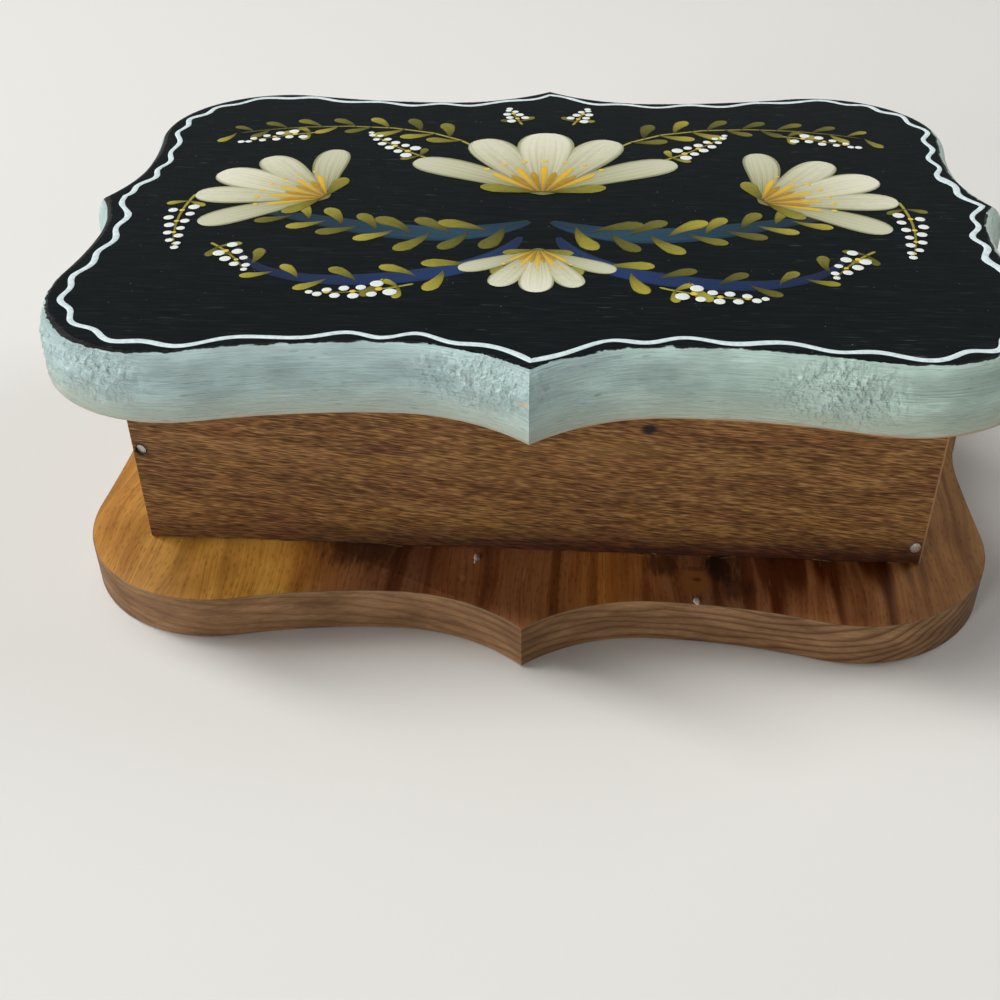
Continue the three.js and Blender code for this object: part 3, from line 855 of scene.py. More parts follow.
def hingeLeaf(side, kind, brass):
    shape = hingeShape
    node = f"{side}_hinge_{kind}_leaf"
    low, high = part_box(node)
    pin = flatPlace(f"{side}_hinge_pin", 0, 1)

    def onPin(x):
        return Vector((x, pin.y, pin.z))

    # the corners of the plate's free edge are rounded
    if kind == "wall":
        plate = addBlock(low, Vector((high.x, low.y + shape["thickness"], pin.z)))
        body, across, outward, freeAxis, freeEdge = "case", 1, 1, 2, low.z
    else:
        plate = addBlock(Vector((low.x, pin.y, high.z - shape["thickness"])), high)
        body, across, outward, freeAxis, freeEdge = "lid", 2, -1, 1, high.y
    pick(plate, "EDGE", lambda start, end: abs(start[across] - end[across]) > 0.5 * mm and all(
        abs(place[freeAxis] - freeEdge) < 0.1 * mm for place in (start, end)))
    bpy.ops.mesh.bevel(offset=shape["cornerRound"], segments=5)
    bpy.ops.object.mode_set(mode="OBJECT")
    # the wall leaf has the two outer knuckles, and the lid leaf the middle one
    third, gap = (high.x - low.x) / 3, shape["gap"]
    outer = [(low.x, low.x + third - gap / 2), (high.x - third + gap / 2, high.x)]
    middle = [(low.x + third + gap / 2, high.x - third - gap / 2)]
    own, other = (outer, middle) if kind == "wall" else (middle, outer)
    reach = shape["barrelRadius"] + gap
    room = Vector((gap, reach, reach))
    for start, end in other:
        combine(plate, addBlock(onPin(start) - room, onPin(end) + room))
    for start, end in own:
        combine(plate, addRod(shape["barrelRadius"], onPin(start), onPin(end)), "UNION")
    beyondEnd = Vector((2 * mm, 0, 0))
    combine(plate, addRod(shape["boreRadius"], onPin(low.x) - beyondEnd, onPin(high.x) + beyondEnd))
    for number in (1, 2):
        place = flatPlace(f"{side}_hinge_{kind}_screw_{number}", across, outward)
        turned = (math.pi / 2 if kind == "wall" else 0, 0, 0)
        combine(plate, startFrom("cylinder", "screwSeat", vertices=24, radius=shape["seatRadius"],
                                 depth=shape["seatDepth"], rotation=turned, location=place))
    applyModifier(plate, "BEVEL", width=shape["arris"], segments=1, limit_method="ANGLE",
                  angle_limit=math.radians(50))
    dress(named(f"{side}Hinge{kind.title()}Leaf"), body, [brass], [node])


def hingePin(side, brass):
    shape = hingeShape
    node = f"{side}_hinge_pin"
    start, end = flatPlace(node, 0, -1), flatPlace(node, 0, 1)
    head = Vector((shape["pinHeadLength"], 0, 0))
    pin = addRod(shape["pinRadius"], start + head / 2, end - head / 2)
    for inner, outer in ((start + head, start), (end - head, end)):
        cap = addRod(shape["pinHeadRadius"], min(inner, outer, key=lambda place: place.x),
                     max(inner, outer, key=lambda place: place.x))
        bpy.ops.object.transform_apply()
        pick(cap, "EDGE", lambda a, b: abs(a.x - outer.x) < 0.01 * mm and abs(b.x - outer.x) < 0.01 * mm)
        bpy.ops.mesh.bevel(offset=shape["pinHeadRound"], segments=3)
        bpy.ops.object.mode_set(mode="OBJECT")
        combine(pin, cap, "UNION")
    pin.name = pin.data.name = side + "HingePin"
    dress(pin, "case", [brass], [node])


def makeHinges():
    brass = brassMaterial()
    blank = screwBlank()
    firstTurn, nextTurn, leftTurn = hingeShape["slotTurn"]
    for side in ("left", "right"):
        hingePin(side, brass)
        for kind, body, axis, outward, lean in (("wall", "case", 1, 1, -math.pi / 2),
                                                ("lid", "lid", 2, -1, math.pi)):
            hingeLeaf(side, kind, brass)
            for number in (1, 2):
                node = f"{side}_hinge_{kind}_screw_{number}"
                screw = copyOf(blank, f"{side}Hinge{kind.title()}Screw{number}")
                slotTurn = firstTurn + nextTurn * (number - 1) + (leftTurn if side == "left" else 0)
                turned = Matrix.Rotation(lean, 4, "X") @ Matrix.Rotation(slotTurn, 4, "Z")
                screw.matrix_world = Matrix.Translation(flatPlace(node, axis, outward)) @ turned
                dress(screw, body, [brass], [node])
    bpy.data.objects.remove(blank)


makeHinges()


# The lid: a thicker plaque with a heavily rounded upper edge, painted pale, its flat top black

lidLook = {
    "roundDrop": 10 * mm,  # how far down the rounded edge reaches
    "roundInset": 4.2 * mm,  # how far it draws the flat top in
    "paintDepth": 0.35 * mm,  # left over the wood for all that is painted on it
    "step": 0.62 * mm,
    "wallRows": 11,
    "roundRows": 19,
    "streak": (11, 0.42, 1),
    "drag": (5, 0.9, 1),
    # where the pale paint dried thick: place and reach in millimetres, and the ridges' height
    "lumps": [((-116, -66, 76), (13, 20, 8), 0.6), ((-99, -84, 77), (14, 10, 7), 0.5),
              ((-13, -90, 78), (17, 9, 7), 0.6), ((70, -86, 76), (15, 8, 8), 0.4),
              ((96, 82, 77), (20, 14, 8), 0.4), ((-70, 86, 77), (16, 12, 8), 0.4)],
    "gouge": ((-2.1, -96.0, 76.0), (2.8, 2.0, 0.7), 0.9),
    "gougeSlope": 0.45,
    "chip": ((1.2, 2.6, 0.7), "#d6c7ad", 1.0, 0.9),
    "chipPlaces": (-1.0, 0.1, 1.2),  # along the gouge, in millimetres
    "paleTones": [(0.32, "#98aead"), (0.45, "#a9bfbe"), (0.56, "#b8d0ce"), (0.68, "#cbe4e2")],
    "paleRight": "#fffff2",  # a multiplier, for the greener paint at the right
    "paleRightFrom": (-30.0, 90.0),
    # a painted highlight laid on the thick lumps' ridges
    "paleLump": "#dcf0ec",
    "paleLow": "#b4b8a6",
    "paleLowReach": (13.5, 5.0),  # over the lid's underside
    "dragged": "#7d8078",  # grey wood that shows where the brush ran dry
    "bareWood": "#b78a68",
    "bareReach": (-0.6, -1.5),
    "bareFrom": (-20.0, 80.0),
    # how far below the top the black ends, in millimetres, and further at the left
    "blackDrop": 0.1,
    "blackDropLeft": 0.9,
    "blackDropFrom": (-75.0, -108.0),
    "blackEnds": (0.36, 0.5),
    "blackRim": "#070808",
    "blackTones": [(0.3, "#111516"), (0.6, "#171b1d"), (0.78, "#252a2c")],
    "scratch": "#6d7472",
    "speck": "#9aa09e",
    "filmLevels": ((0, -0.4), (0.05, -0.06), (0.9, 0.07), (1.8, 0.1)),  # the film's inset and height
    "filmOverlap": 0.7 * mm,  # how far it reaches over the rounded edge
    "filmRag": 0.5 * mm,
}
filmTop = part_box("lid_plaque")[1].z / mm - lidLook["paintDepth"] / mm + lidLook["filmLevels"][-1][1]


def paintRelief(place):
    # how deep below the thickest paint a place of the edge lies, in metres
    point = Vector(place) / mm
    depth = 0.0
    for middle, reach, height in lidLook["lumps"]:
        away = Vector([(a - b) / c for a, b, c in zip(point, middle, reach)]).length
        if away < 1.3:
            share = min(1.0, (1.3 - away) / 0.6)
            ridges = 1 - abs(noise.noise(point * 0.42)) * 2.6
            crumbs = noise.noise(point * 0.8 + Vector((7, 3, 0)))
            depth = max(depth, share * height * (1 - min(1.0, max(0.0, ridges * 0.75 + crumbs))))
    middle, reach, height = lidLook["gouge"]
    slanted = point - Vector(middle)
    slanted.z -= lidLook["gougeSlope"] * slanted.x
    away = Vector([a / b for a, b in zip(slanted, reach)]).length
    return (depth + height * max(0.0, 1 - away)) * mm


def palePaintMaterial():
    # Acrylic craft paint brushed along the edge: chalky and streaked, thin over the lowest arris
    look = lidLook
    low, high = (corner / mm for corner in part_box("lid_plaque"))
    material, tree, position = newMaterial("paleAquaBrushedAcrylic")
    axes = addNode(tree, "SeparateXYZ", position).outputs
    unrolled = addNode(tree, "VectorMath", addNode(tree, "UVMap", uv_map="edgeRun"), (1000, 1000, 0),
                       operation="MULTIPLY")
    streaks = drawnNoise(tree, unrolled, look["streak"], 3.0, 0.62)
    patches = addNode(tree, "Math", drawnNoise(tree, position, (13, 13, 6)), 0.55, operation="MULTIPLY")
    tone = addNode(tree, "Math", streaks, 0.45, patches, operation="MULTIPLY_ADD")
    colour = addNode(tree, "ValToRGB", tone, stops=look["paleTones"])
    colour = laidOn(tree, colour, look["paleRight"], axes["X"], *look["paleRightFrom"], **darken)
    drags = drawnNoise(tree, unrolled, look["drag"], 1.0)
    lowered = addNode(tree, "Math", drags, 9.0, axes["Z"], operation="MULTIPLY_ADD")
    colour = laidOn(tree, colour, look["paleLow"], lowered, *[low.z + z for z in look["paleLowReach"]], 0.7)
    colour = laidOn(tree, colour, look["dragged"], drags, 0.64, 0.78, 0.45)
    worn = addNode(tree, "Math", streaks, -3.4, axes["Z"], operation="MULTIPLY_ADD")
    rightward = addNode(tree, "MapRange", axes["X"], *look["bareFrom"], 0.4, 1.0, **smooth)
    bare = [low.z + z for z in look["bareReach"]]
    colour = laidOn(tree, colour, look["bareWood"], worn, *bare, rightward)
    # chips along the gouge
    turned = Matrix.Rotation(plaqueShapes["lid_plaque"]["turn"], 3, "Z") @ Vector(look["gouge"][0])
    chips = [(turned + Vector((along, (low.y + high.y) / 2, along * look["gougeSlope"])), *look["chip"])
             for along in look["chipPlaces"]]
    colour = spotted(tree, position, colour, chips, streaks)
    # thick lumps in patches, their ridges lightened by a painted highlight, and the bristles' ridges
    # everywhere
    patch = 0.0
    for middle, reach, height in look["lumps"]:
        distance = distanceFrom(tree, position, middle, reach)
        share = addNode(tree, "MapRange", distance, 1.45, 0.3, 0.0, 1.0, **smooth)
        patch = addNode(tree, "Math", patch, share, operation="MAXIMUM")
    lumpReliefAndHighlight = addNode(tree, "Math", drawnNoise(tree, position, (1.5, 1.5, 1.5)), patch, operation="MULTIPLY")
    # painted highlight: the lumps' ridges are lightened in colour as if they caught the light
    colour = laidOn(tree, colour, look["paleLump"], lumpReliefAndHighlight, 0.35, 0.7, 0.55)
    # the black of the top ends raggedly on the rounded edge
    rags = drawnNoise(tree, position, (5, 5, 2), 3.0, 0.55)
    ragged = addNode(tree, "Math", rags, 0.9, axes["Z"], operation="MULTIPLY_ADD")
    drop = addNode(tree, "MapRange", axes["X"], *look["blackDropFrom"], look["blackDrop"],
                   look["blackDropLeft"], **smooth)
    overEnd = addNode(tree, "Math", ragged, drop, operation="ADD")
    top = high.z - look["paintDepth"] / mm
    colour = laidOn(tree, colour, look["blackRim"], overEnd, *[top + z for z in look["blackEnds"]])
    relief = addNode(tree, "Math", lumpReliefAndHighlight, 4.0, streaks, operation="MULTIPLY_ADD")
    finishShader(tree, colour, 0.45, 0.16, relief, 1.0, 0.55)
    return material


def blackPaintMaterial():
    # Black acrylic under a thin satin varnish, brushed along the lid: faint streaks, fine dry
    # scratches and specks of dust
    material, tree, position = newMaterial("blackSatinAcrylic")
    streaks = drawnNoise(tree, position, (9, 0.45, 1))
    colour = addNode(tree, "ValToRGB", streaks, stops=lidLook["blackTones"])
    scratches = drawnNoise(tree, position, (7, 0.3, 1), 0.0)
    where = addNode(tree, "MapRange", drawnNoise(tree, position, (22, 22, 22), 1.0), 0.5, 0.62, 0.0, 0.5,
                    **smooth)
    colour = laidOn(tree, colour, lidLook["scratch"], scratches, 0.76, 0.86, where)
    specks = drawnNoise(tree, position, (0.55, 0.55, 0.55), 0.0)
    colour = laidOn(tree, colour, lidLook["speck"], specks, 0.855, 0.9, 0.7)
    finishShader(tree, colour, 0.55, 0.02, streaks, 0.25, 0.1)
    return material


def lidPlaque():
    low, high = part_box("lid_plaque")
    look = lidLook
    arris, top = plaqueShapes["arris"], high.z - look["paintDepth"]
    roundStart = top - look["roundDrop"]
    levels = edgeLevels(low.z, arris, roundStart, look["wallRows"])
    for row in range(1, look["roundRows"] + 1):
        angle = math.pi / 2 * row / look["roundRows"]
        inset = look["roundInset"] * (1 - math.cos(angle))
        levels.append((inset, roundStart + look["roundDrop"] * math.sin(angle)))
    plaque = plaqueBlank("lidPlaque", "lid_plaque", levels, look["step"])
    settle(plaque)
    outward = [vertex.normal.copy() for vertex in plaque.data.vertices]
    for vertex, normal in zip(plaque.data.vertices, outward):
        if low.z + arris < vertex.co.z < top - 0.02 * mm:
            vertex.co -= normal * paintRelief(vertex.co)
    for material in (palePaintMaterial(), wipedPine):
        plaque.data.materials.append(material)
    for face in plaque.data.polygons:
        face.material_index = 1 if len(face.vertices) > 4 and face.center.z < (low.z + high.z) / 2 else 0
    layOnLid(plaque)
    dress(plaque, "lid", [], ["lid_plaque"], 50)


def lidTopPaint():
    # a thin film over the flat top, its rim lost in the black on the rounded edge
    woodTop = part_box("lid_plaque")[1].z - lidLook["paintDepth"]
    rim = lidLook["roundInset"] - lidLook["filmOverlap"]
    levels = [(rim + inset * mm, woodTop + height * mm) for inset, height in lidLook["filmLevels"]]

    def ragged(run):
        slow, quick = noise.noise(Vector((run * 90, 0, 0))), noise.noise(Vector((run * 800, 5, 0)))
        return 0.45 + 0.4 * slow + 0.35 * quick

    film = plaqueBlank("blackTopPaint", "lid_plaque", levels, lidLook["step"], ragged, lidLook["filmRag"])
    layOnLid(film)
    dress(film, "lid", [blackPaintMaterial()])


lidPlaque()
lidTopPaint()


# The border line, drawn freehand with a loaded liner brush: it sways in and out, and swells where
# the brush slowed

borderLook = {
    "margin": (2.4 * mm, 3.3 * mm),  # from the flat top's edge to the line's middle, and at the left
    "sway": (1.15 * mm, 0.95 * mm),  # and at the left
    "swayLength": (21.5 * mm, 14.5 * mm),  # and along the ends
    "halfWidth": 0.82 * mm,
    "height": 0.17 * mm,
    "heights": (-0.15 * mm, 0.24 * mm),  # its lowest and highest, over the film
    "leftFrom": (84 * mm, 22 * mm),  # where the left begins, and how long the change takes
    "endsFrom": (88 * mm, 14 * mm),
    "step": 1.0 * mm,
    "tones": [(0.3, "#c4d4d6"), (0.55, "#d6e5e6"), (0.7, "#e2eeee")],
}


def brushPaintMaterial(name, tones, cell):
    # Craft acrylic straight from the bottle, laid on thick: even, with the bristles' fine ridges
    material, tree, position = newMaterial(name)
    body = drawnNoise(tree, position, (cell,) * 3)
    finishShader(tree, addNode(tree, "ValToRGB", body, stops=tones), 0.5, 0.25, body, 0.3, 0.06)
    return material


def passing(pair, value, start, reach):
    # from the first of a pair to the second as the value grows past start
    share = min(1.0, max(0.0, (value - start) / reach))
    return pair[0] + (pair[1] - pair[0]) * share


def borderLine():
    look = borderLook
    outer = plaqueOutline("lid_plaque", lidLook["roundInset"], look["step"])
    inner = plaqueOutline("lid_plaque", lidLook["roundInset"] + 1 * mm, look["step"])
    phases = [0.0]
    for start, end in zip(outer, outer[1:] + outer[:1]):
        length = passing(look["swayLength"], abs(start.x), *look["endsFrom"])
        phases.append(phases[-1] + (end - start).length / length)
    scale = round(phases[-1]) / phases[-1]
    line = startFrom("circle", "borderLine", vertices=len(outer), radius=outer[0].length)
    for vertex, start, end, run, phase in zip(line.data.vertices, outer, inner, outlineRuns(outer), phases):
        margin, sway = (passing(look[key], -start.x, *look["leftFrom"]) for key in ("margin", "sway"))
        drift = 1.6 * noise.noise(Vector((run * 28, 9, 0)))
        swing = 0.9 + 0.5 * noise.noise(Vector((run * 35, 2, 0)))
        swing *= math.sin(2 * math.pi * phase * scale + drift)
        vertex.co = (*start.lerp(end, (margin + sway * swing) / mm), 0)
    bpy.ops.object.convert(target="CURVE")
    line.data.bevel_depth = look["halfWidth"]
    line.data.bevel_resolution = 3
    for point in line.data.splines[0].points:
        spot = Vector(point.co[:3]) / mm
        swell = noise.noise(spot * 0.05) + 0.5 * noise.noise(spot * 0.2)
        blob = max(0.0, noise.noise(spot * 0.11 + Vector((40, 0, 0))) - 0.42) * 3.0
        point.radius = 1.0 + 0.3 * swell + blob
    bpy.ops.object.convert(target="MESH")
    line = named("borderLine")
    lowest, highest = look["heights"]
    for vertex in line.data.vertices:
        rise = vertex.co.z / look["halfWidth"] * look["height"]
        vertex.co.z = (filmTop - 0.02) * mm + min(highest, max(lowest, rise))
    layOnLid(line)
    dress(line, "lid", [brushPaintMaterial("paleBlueWhiteAcrylic", look["tones"], 1.5)])


borderLine()


# The painting on the lid: a plain symmetrical folk ornament of brush strokes, cream tulips over
# teal and blue scrolls with olive leaves and sprigs of white dots. In millimetres and degrees.

ornamentLook = {
    # start, heading, length, and the bend per millimetre at the start, middway and at the end
    "mainScroll": ((3, -14), -42, 84, (0.034, 0.012, -0.014)),
    "lowScroll": ((5, -24), -78, 92, (0.040, 0.012, 0.050)),
    "garland": ((20, 38), 62, 84, (-0.035, -0.012, -0.012)),
    "scrollWidths": (("mainScroll", 1.6, 9.0, 0.15), ("lowScroll", 1.2, 6.5, 0.75)),  # thin, thick, tone
    # where the leaves start and end along each, how many there are, and their length
    "leaves": (("mainScroll", 0.08, 0.86, 14, 15.5), ("lowScroll", 0.14, 0.95, 11, 12.71),
               ("garland", 0.1, 1.0, 15, 13.02)),
    # start, heading, length, bend and rows of dots
    "sprigs": [((34, 30), 35, 30, 0.012, 6), ((70, 52), -12, 26, -0.012, 5), ((98, 2), -80, 36, -0.014, 6),
               ((30, -52), -28, 26, 0.02, 5), ((8, 60), 72, 15, 0.0, 4), ((86, -30), -140, 20, 0.02, 4)],
    # start, heading, size, and the sides it is painted on
    "tulips": [((0, 4), 90, 47, (1,)), ((60, 0), 28, 38, (1, -1)), ((0, -31), -90, 24, (1,))],
    # each petal's turn, length, width, bend and lift
    "petals": ((50, 0.98, 0.30, 0.4, 0.00), (-50, 0.98, 0.30, -0.4, 0.00), (25, 1.0, 0.34, 0.08, 0.012),
               (-25, 1.0, 0.34, -0.08, 0.012), (0, 1.03, 0.40, 0.0, 0.024)),
    # layer by layer, the heights over the black film
    "lift": {"scroll": 0.02, "leaf": 0.05, "petal": 0.09, "throat": 0.14, "dot": 0.17},
    # how each paint thins along its stroke, its tones, the hairs' streaks and the rim's multiplier
    "teal": ([(0.0, "#6d95a0"), (0.25, "#dfecec"), (0.5, "#a9c6ca"), (0.8, "#7394a0"), (1.0, "#44626e")],
             [(0.2, "#204a5a"), (0.55, "#193f5e"), (0.95, "#13356a")], (0.2, 0.22), "#8fb3bb"),
    "olive": ([(0.0, "#ffffff"), (0.45, "#e2e0c8"), (0.85, "#8d8c66"), (1.0, "#5d5d42")],
              [(0.15, "#5c5a1c"), (0.55, "#7d7826"), (0.95, "#a59b3a")], (0.2, 0.2), "#c9c79a"),
    "cream": ([(0.0, "#7f8256"), (0.22, "#aeae8c"), (0.45, "#d5d3bd"), (0.75, "#ecebdc"), (1.0, "#f6f5ec")],
              [(0.2, "#f1f0e6"), (0.6, "#e4e2d2"), (0.95, "#cfcfbb")], (0.35, 0.10), "#a9ad92"),
    "ochre": ([(0.0, "#fff2c4"), (0.5, "#f2dc98"), (1.0, "#b09a4c")],
              [(0.2, "#e6cc4e"), (0.6, "#cfae3c"), (0.95, "#a98c2a")], (0.3, 0.3), "#d8c488"),
}
lift = ornamentLook["lift"]


def spineOf(start, heading, length, bends, count):
    # a path whose bend passes from the first value through the second to the third
    x, y = start
    angle = math.radians(heading)
    spine = [(x, y, angle)]
    step = length / count
    for index in range(count):
        share = 2 * (index + 0.5) / count
        first, second, place = (bends[0], bends[1], share) if share < 1 else (bends[1], bends[2], share - 1)
        angle += (first + (second - first) * place) * step
        x += math.cos(angle) * step
        y += math.sin(angle) * step
        spine.append((x, y, angle))
    return spine


def spineAt(spine, share):
    place = share * (len(spine) - 1)
    index = min(int(place), len(spine) - 2)
    return [a + (b - a) * (place - index) for a, b in zip(spine[index], spine[index + 1])]


def beyond(x, y, angle, distance):
    return x + math.cos(angle) * distance, y + math.sin(angle) * distance


def drawnBack(x, y, turn, reach, length, bend, count, twist=0):
    # the spine of a stroke that starts at this reach from a place and comes back to it
    return spineOf(beyond(x, y, turn, reach), math.degrees(turn) + 180 + twist, length, (bend,) * 3, count)


def strokeBlank(name, rings, sides=8):
    # a closed blob with its poles along X, from -1 to 1
    blank = startFrom("uv_sphere", name, segments=sides, ring_count=rings, radius=1,
                      rotation=(0, math.pi / 2, 0))
    bpy.ops.object.transform_apply()
    blank.data.attributes.new("stroke", "FLOAT_VECTOR", "POINT")
    return blank


def strokeOn(blank, spine, widthAt, height, tone, thick=0.05, mirrored=1):
    # the blank drawn out along the spine, as one stroke of a round brush: its attribute keeps how
    # far along and across the stroke a place is, and the stroke's own tone
    stroke = copyOf(blank, "stroke")
    for vertex, mark in zip(stroke.data.vertices, stroke.data.attributes["stroke"].data):
        run = min(1.0, max(0.0, (1 + vertex.co.x) / 2))
        ring = math.sqrt(max(1e-6, 1 - vertex.co.x ** 2))
        atPole = 0.001 > run or run > 0.999
        side, up = (0.0, 0.0) if atPole else (vertex.co.y / ring, vertex.co.z / ring)
        x, y, angle = spineAt(spine, run)
        x, y = beyond(x, y, angle + math.pi / 2, side * widthAt(run) / 2)
        mark.vector = (run, side, tone)
        vertex.co = Vector((mirrored * x, y, filmTop + height + up * thick)) * mm
    return stroke


def commaWidth(width):
    # pressed down, then drawn off to a point
    def at(run):
        if run < 0.25:
            return width * math.sqrt(max(0.0, 1 - (1 - run / 0.25) ** 2))
        return width * (1 - (run - 0.25) / 0.75) ** 0.9
    return at


def petalWidth(width):
    return lambda run: width * (1.25 * run ** 0.8 * math.sqrt(max(0.0, 1 - run ** 5)) + 0.06)


def strokeMaterial(name, along, tones, streak, rim):
    # Artists' acrylic drawn out with a round brush: the hairs' streaks run along every stroke, and
    # the paint thins from its head to its tail
    material, tree, position = newMaterial(name)
    mark = addNode(tree, "Attribute", attribute_name="stroke").outputs["Vector"]
    run, side, tone = addNode(tree, "SeparateXYZ", mark).outputs
    hairs = drawnNoise(tree, mark, (streak[0] * 3, streak[1], 0.05))
    drift = addNode(tree, "Math", hairs, 0.7, run, operation="MULTIPLY_ADD")
    centred = addNode(tree, "Math", drift, 0.35, operation="SUBTRACT")
    body = drawnNoise(tree, position, (1.6, 1.6, 1.6))
    varied = addNode(tree, "Math", body, 0.35, tone, operation="MULTIPLY_ADD")
    colour = shaded(tree, addNode(tree, "ValToRGB", centred, stops=along), varied, tones)
    fromMiddle = addNode(tree, "Math", side, operation="ABSOLUTE")
    frayed = addNode(tree, "Math", hairs, 0.5, fromMiddle, operation="MULTIPLY_ADD")
    colour = laidOn(tree, colour, rim, frayed, 1.0, 1.25, **darken)
    finishShader(tree, colour, 0.5, 0.2, hairs, 0.25, 0.05)
    return material


def layPaint(name, strokes, material):
    painted = joinInto(name, strokes)
    layOnLid(painted)
    dress(painted, "lid", [material])


def ornamentScrolls(blank):
    scrolls = []
    for key, thin, thick, tone in ornamentLook["scrollWidths"]:
        spine = spineOf(*ornamentLook[key], 60)
        for mirrored in (1, -1):
            def widthAt(run):
                return thin + thick * math.sin(math.pi * run ** 0.75) ** 0.9 * (1 - 0.35 * run)
            scrolls.append(strokeOn(blank, spine, widthAt, lift["scroll"], tone, 0.04, mirrored))
    # a wide brush loaded with teal on the inner scrolls and blue on the outer, wiped thin midway
    teal = strokeMaterial("tealScrollAcrylic", *ornamentLook["teal"])
    layPaint("tealScrolls", scrolls, teal)


def ornamentLeaves(blank, chance):
    look = ornamentLook
    strokes = []

    def stroke(spine, width, height, tone, thick, mirrored):
        strokes.append(strokeOn(blank, spine, width, height, tone, thick, mirrored))

    for key, first, last, count, length in look["leaves"]:
        spine = spineOf(*look[key], 60)
        for index in range(count):
            x, y, angle = spineAt(spine, first + (last - first) * index / (count - 1))
            side = 1 if index % 2 else -1
            size = length * (1 - 0.35 * index / count) * chance.uniform(0.9, 1.1)
            turn = angle + side * math.radians(40 + chance.uniform(-8, 8))
            leaf = drawnBack(x, y, turn, size, size * 1.02, side * 0.6 / size, 16, -side * 14)
            for mirrored in (1, -1):
                stroke(leaf, commaWidth(size * 0.36), lift["leaf"], chance.random(), 0.05, mirrored)
        if key == "garland":
            for mirrored in (1, -1):
                stroke(spine, lambda run: 0.9, lift["leaf"] - 0.01, 0.8, 0.04, mirrored)
    for start, heading, length, bend, count in look["sprigs"]:
        stem = spineOf(start, heading, length, (bend,) * 3, 20)
        x, y, angle = stem[2]
        for mirrored in (1, -1):
            stroke(stem, lambda run: 0.9 - 0.4 * run, lift["leaf"], 0.7, 0.04, mirrored)
            for side in (1, -1):
                leaf = drawnBack(x, y, angle + side * 0.9, 7, 7, side * 0.06, 12)
                stroke(leaf, commaWidth(2.6), lift["leaf"], chance.random(), 0.05, mirrored)
    for (x, y), heading, size, sides in look["tulips"]:
        for side in (1, -1):
            turn = math.radians(heading) + side * 1.25
            cup = drawnBack(x, y, turn, size * 0.4, size * 0.42, side * 0.5 / size, 16)
            for mirrored in sides:
                stroke(cup, commaWidth(size * 0.13), lift["throat"], 0.5, 0.05, mirrored)
    # dabs of two olives, the head of the stroke loaded and its tail nearly dry
    layPaint("oliveLeaves", strokes, strokeMaterial("oliveLeafAcrylic", *look["olive"]))


def ornamentTulips(blank):
    look = ornamentLook
    petals, throats = [], []
    for (x, y), heading, size, sides in look["tulips"]:
        for mirrored in sides:
            for turn, share, wide, bend, over in look["petals"]:
                spine = spineOf((x, y), heading + turn * 0.92, size * share, (bend / size,) * 3, 24)
                petals.append(strokeOn(blank, spine, petalWidth(size * wide), lift["petal"] + over,
                                       0.3 + abs(turn) / 90, 0.05, mirrored))
            for turn in range(-44, 45, 11):
                reach = size * (0.46 if turn % 2 == 0 else 0.36)
                stamen = drawnBack(x, y, math.radians(heading + turn), reach, reach * 0.95, 0.0, 10)
                throats.append(strokeOn(blank, stamen, commaWidth(size * 0.05), lift["throat"],
                                        0.2 + 0.5 * (turn % 2), 0.05, mirrored))
    layPaint("creamTulips", petals, strokeMaterial("creamPetalAcrylic", *look["cream"]))
    layPaint("goldThroats", throats, strokeMaterial("goldThroatAcrylic", *look["ochre"]))


def ornamentDots(chance):
    # round drops set down with a stick's end, domed as they dried
    blank = strokeBlank("dotBlank", 6)
    white, yellow = [], []

    def dotAt(group, x, y, radius, tone, mirrored):
        spine = [(x - radius, y, 0.0), (x + radius, y, 0.0)]
        group.append(strokeOn(blank, spine, lambda run: 4 * radius * math.sqrt(max(0.0, run * (1 - run))),
                              lift["dot"], tone, 0.075, mirrored))

    for start, heading, length, bend, count in ornamentLook["sprigs"]:
        stem = spineOf(start, heading, length, (bend,) * 3, 20)
        last = 2 * count - 1
        for index in range(last + 1):
            # set left and right of the stem by turns, smaller towards the tip
            share = 0.26 + 0.74 * index / last
            x, y, angle = spineAt(stem, share)
            radius = 1.85 * (1 - 0.45 * share) * chance.uniform(0.85, 1.1)
            away = (1 if index % 2 else -1) * (2.9 - 2.4 * share ** 2) * chance.uniform(0.75, 1.2)
            tone = chance.random()
            beside = beyond(x, y, angle + math.pi / 2, away if index < last else 0.0)
            for mirrored in (1, -1):
                dotAt(white, *beside, radius, tone, mirrored)
                if index % 3 == 1:
                    dotAt(yellow, x, y, radius * 0.55, tone, mirrored)
    for (x, y), heading, size, sides in ornamentLook["tulips"]:
        for turn in range(-42, 43, 14):
            place = beyond(x, y, math.radians(heading + turn), size * 0.53)
            for mirrored in sides:
                radius = size * 0.021 * chance.uniform(0.85, 1.15)
                dotAt(yellow, *place, radius, chance.random(), mirrored)
    for name, group, tones in (("whiteDots", white, [(0.3, "#e9ece6"), (0.9, "#d4dbd6")]),
                               ("yellowDots", yellow, [(0.3, "#e3c64a"), (0.9, "#cfa42e")])):
        layPaint(name, group, brushPaintMaterial(name + "Acrylic", tones, 0.9))
    bpy.data.objects.remove(blank)


def paintOrnament():
    chance = random.Random(7)
    broad, fine = strokeBlank("broadStroke", 40, 10), strokeBlank("fineStroke", 9)
    petal = strokeBlank("petalStroke", 18, 12)
    ornamentScrolls(broad)
    ornamentLeaves(fine, chance)
    ornamentTulips(petal)
    ornamentDots(chance)
    for blank in (broad, fine, petal):
        bpy.data.objects.remove(blank)


paintOrnament()


# Small leavings of the making: drops of pale paint on the base, and wood fibres torn up along the
# front board's lower edge

leavings = {
    "drops": [((-13.6, -69.6), 1.6, 0.5), ((44.0, -83.6), 0.95, 0.9)],  # x and y, radius, squeeze, in mm
    "dropTones": [(0.3, "#b9aaa2"), (0.7, "#e2d8d0")],
    "splinters": 16,
    "splinterLength": (1.2, 4.2),
    "splinterRadius": 0.07 * mm,
    "splinterTones": [(0.35, "#6f5434"), (0.65, "#ab8f63")],
}


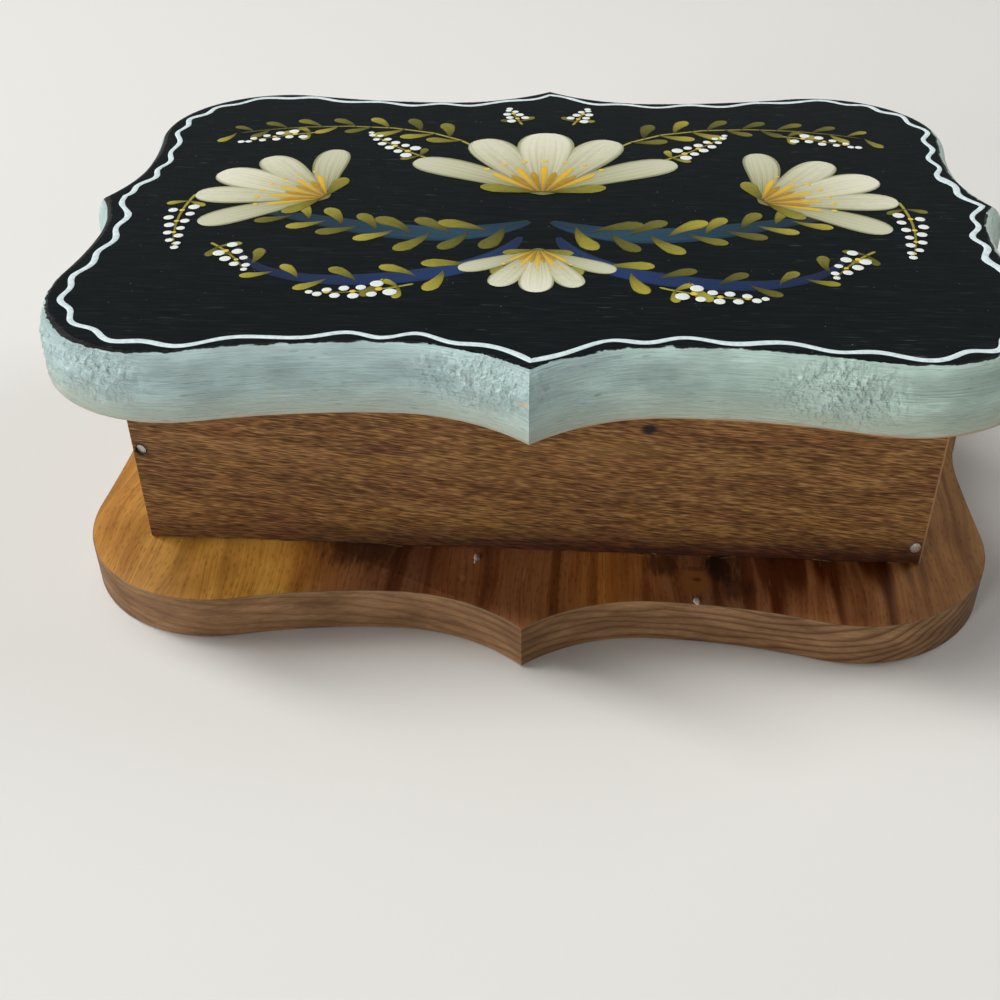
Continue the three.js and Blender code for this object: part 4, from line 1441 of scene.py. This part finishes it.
def paintDrops():
    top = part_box("base_plaque")[1].z
    drops = []
    for (x, y), radius, squeeze in leavings["drops"]:
        drop = startFrom("uv_sphere", "paintDrop", segments=20, ring_count=12, radius=radius * mm,
                         location=(x * mm, y * mm, top))
        bpy.ops.object.transform_apply()
        for vertex in drop.data.vertices:
            around = Vector((vertex.co.x / mm - x, vertex.co.y / mm - y, 0))
            swell = 1 + 0.5 * noise.noise(Vector((around.x * 1.4, around.y * 1.4, x)))
            vertex.co = ((x + around.x * swell * squeeze) * mm, (y + around.y * swell * 1.25) * mm,
                         top + (vertex.co.z - top) * 0.42)
        drops.append(drop)
    material = brushPaintMaterial("palePaintDrop", leavings["dropTones"], 0.7)
    dress(joinInto("paintDrops", drops), "case", [material])


def tornSplinters():
    # torn luan fibres that took no stain: pale straw
    chance = random.Random(21)
    low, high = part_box("front_board")
    blank = startFrom("cylinder", "splinterBlank", vertices=6, radius=leavings["splinterRadius"],
                      depth=1 * mm, rotation=(0, math.pi / 2, 0))
    bpy.ops.object.transform_apply()
    pick(blank, "FACE", lambda centre, normal: normal.x > 0.9)
    extrude(0.6 * mm, 0, 0.02 * mm)
    bpy.ops.transform.resize(value=(1, 0.25, 0.25))
    bpy.ops.object.mode_set(mode="OBJECT")
    splinters = []
    for index in range(leavings["splinters"]):
        splinter = copyOf(blank, "splinter")
        length = chance.uniform(*leavings["splinterLength"])
        along = chance.uniform(low.x + 4 * mm, high.x - 4 * mm)
        splinter.scale = (length / 1.6, chance.uniform(0.7, 1.3), chance.uniform(0.7, 1.3))
        lean = chance.uniform(-0.16, 0.12)
        splinter.rotation_euler = (0, lean, chance.choice((0, math.pi)) + chance.uniform(-0.3, 0.3))
        proud = chance.uniform(0.05, 0.5) * mm
        splinter.location = (along, low.y - proud, low.z + chance.uniform(0.15, 0.6) * mm)
        splinters.append(splinter)
    bpy.data.objects.remove(blank)
    material, tree, position = newMaterial("tornPaleFibre")
    strands = drawnNoise(tree, position, (1.5, 0.15, 0.15))
    finishShader(tree, addNode(tree, "ValToRGB", strands, stops=leavings["splinterTones"]), 0.8, 0.2)
    dress(joinInto("edgeSplinters", splinters), "case", [material])


paintDrops()
tornSplinters()
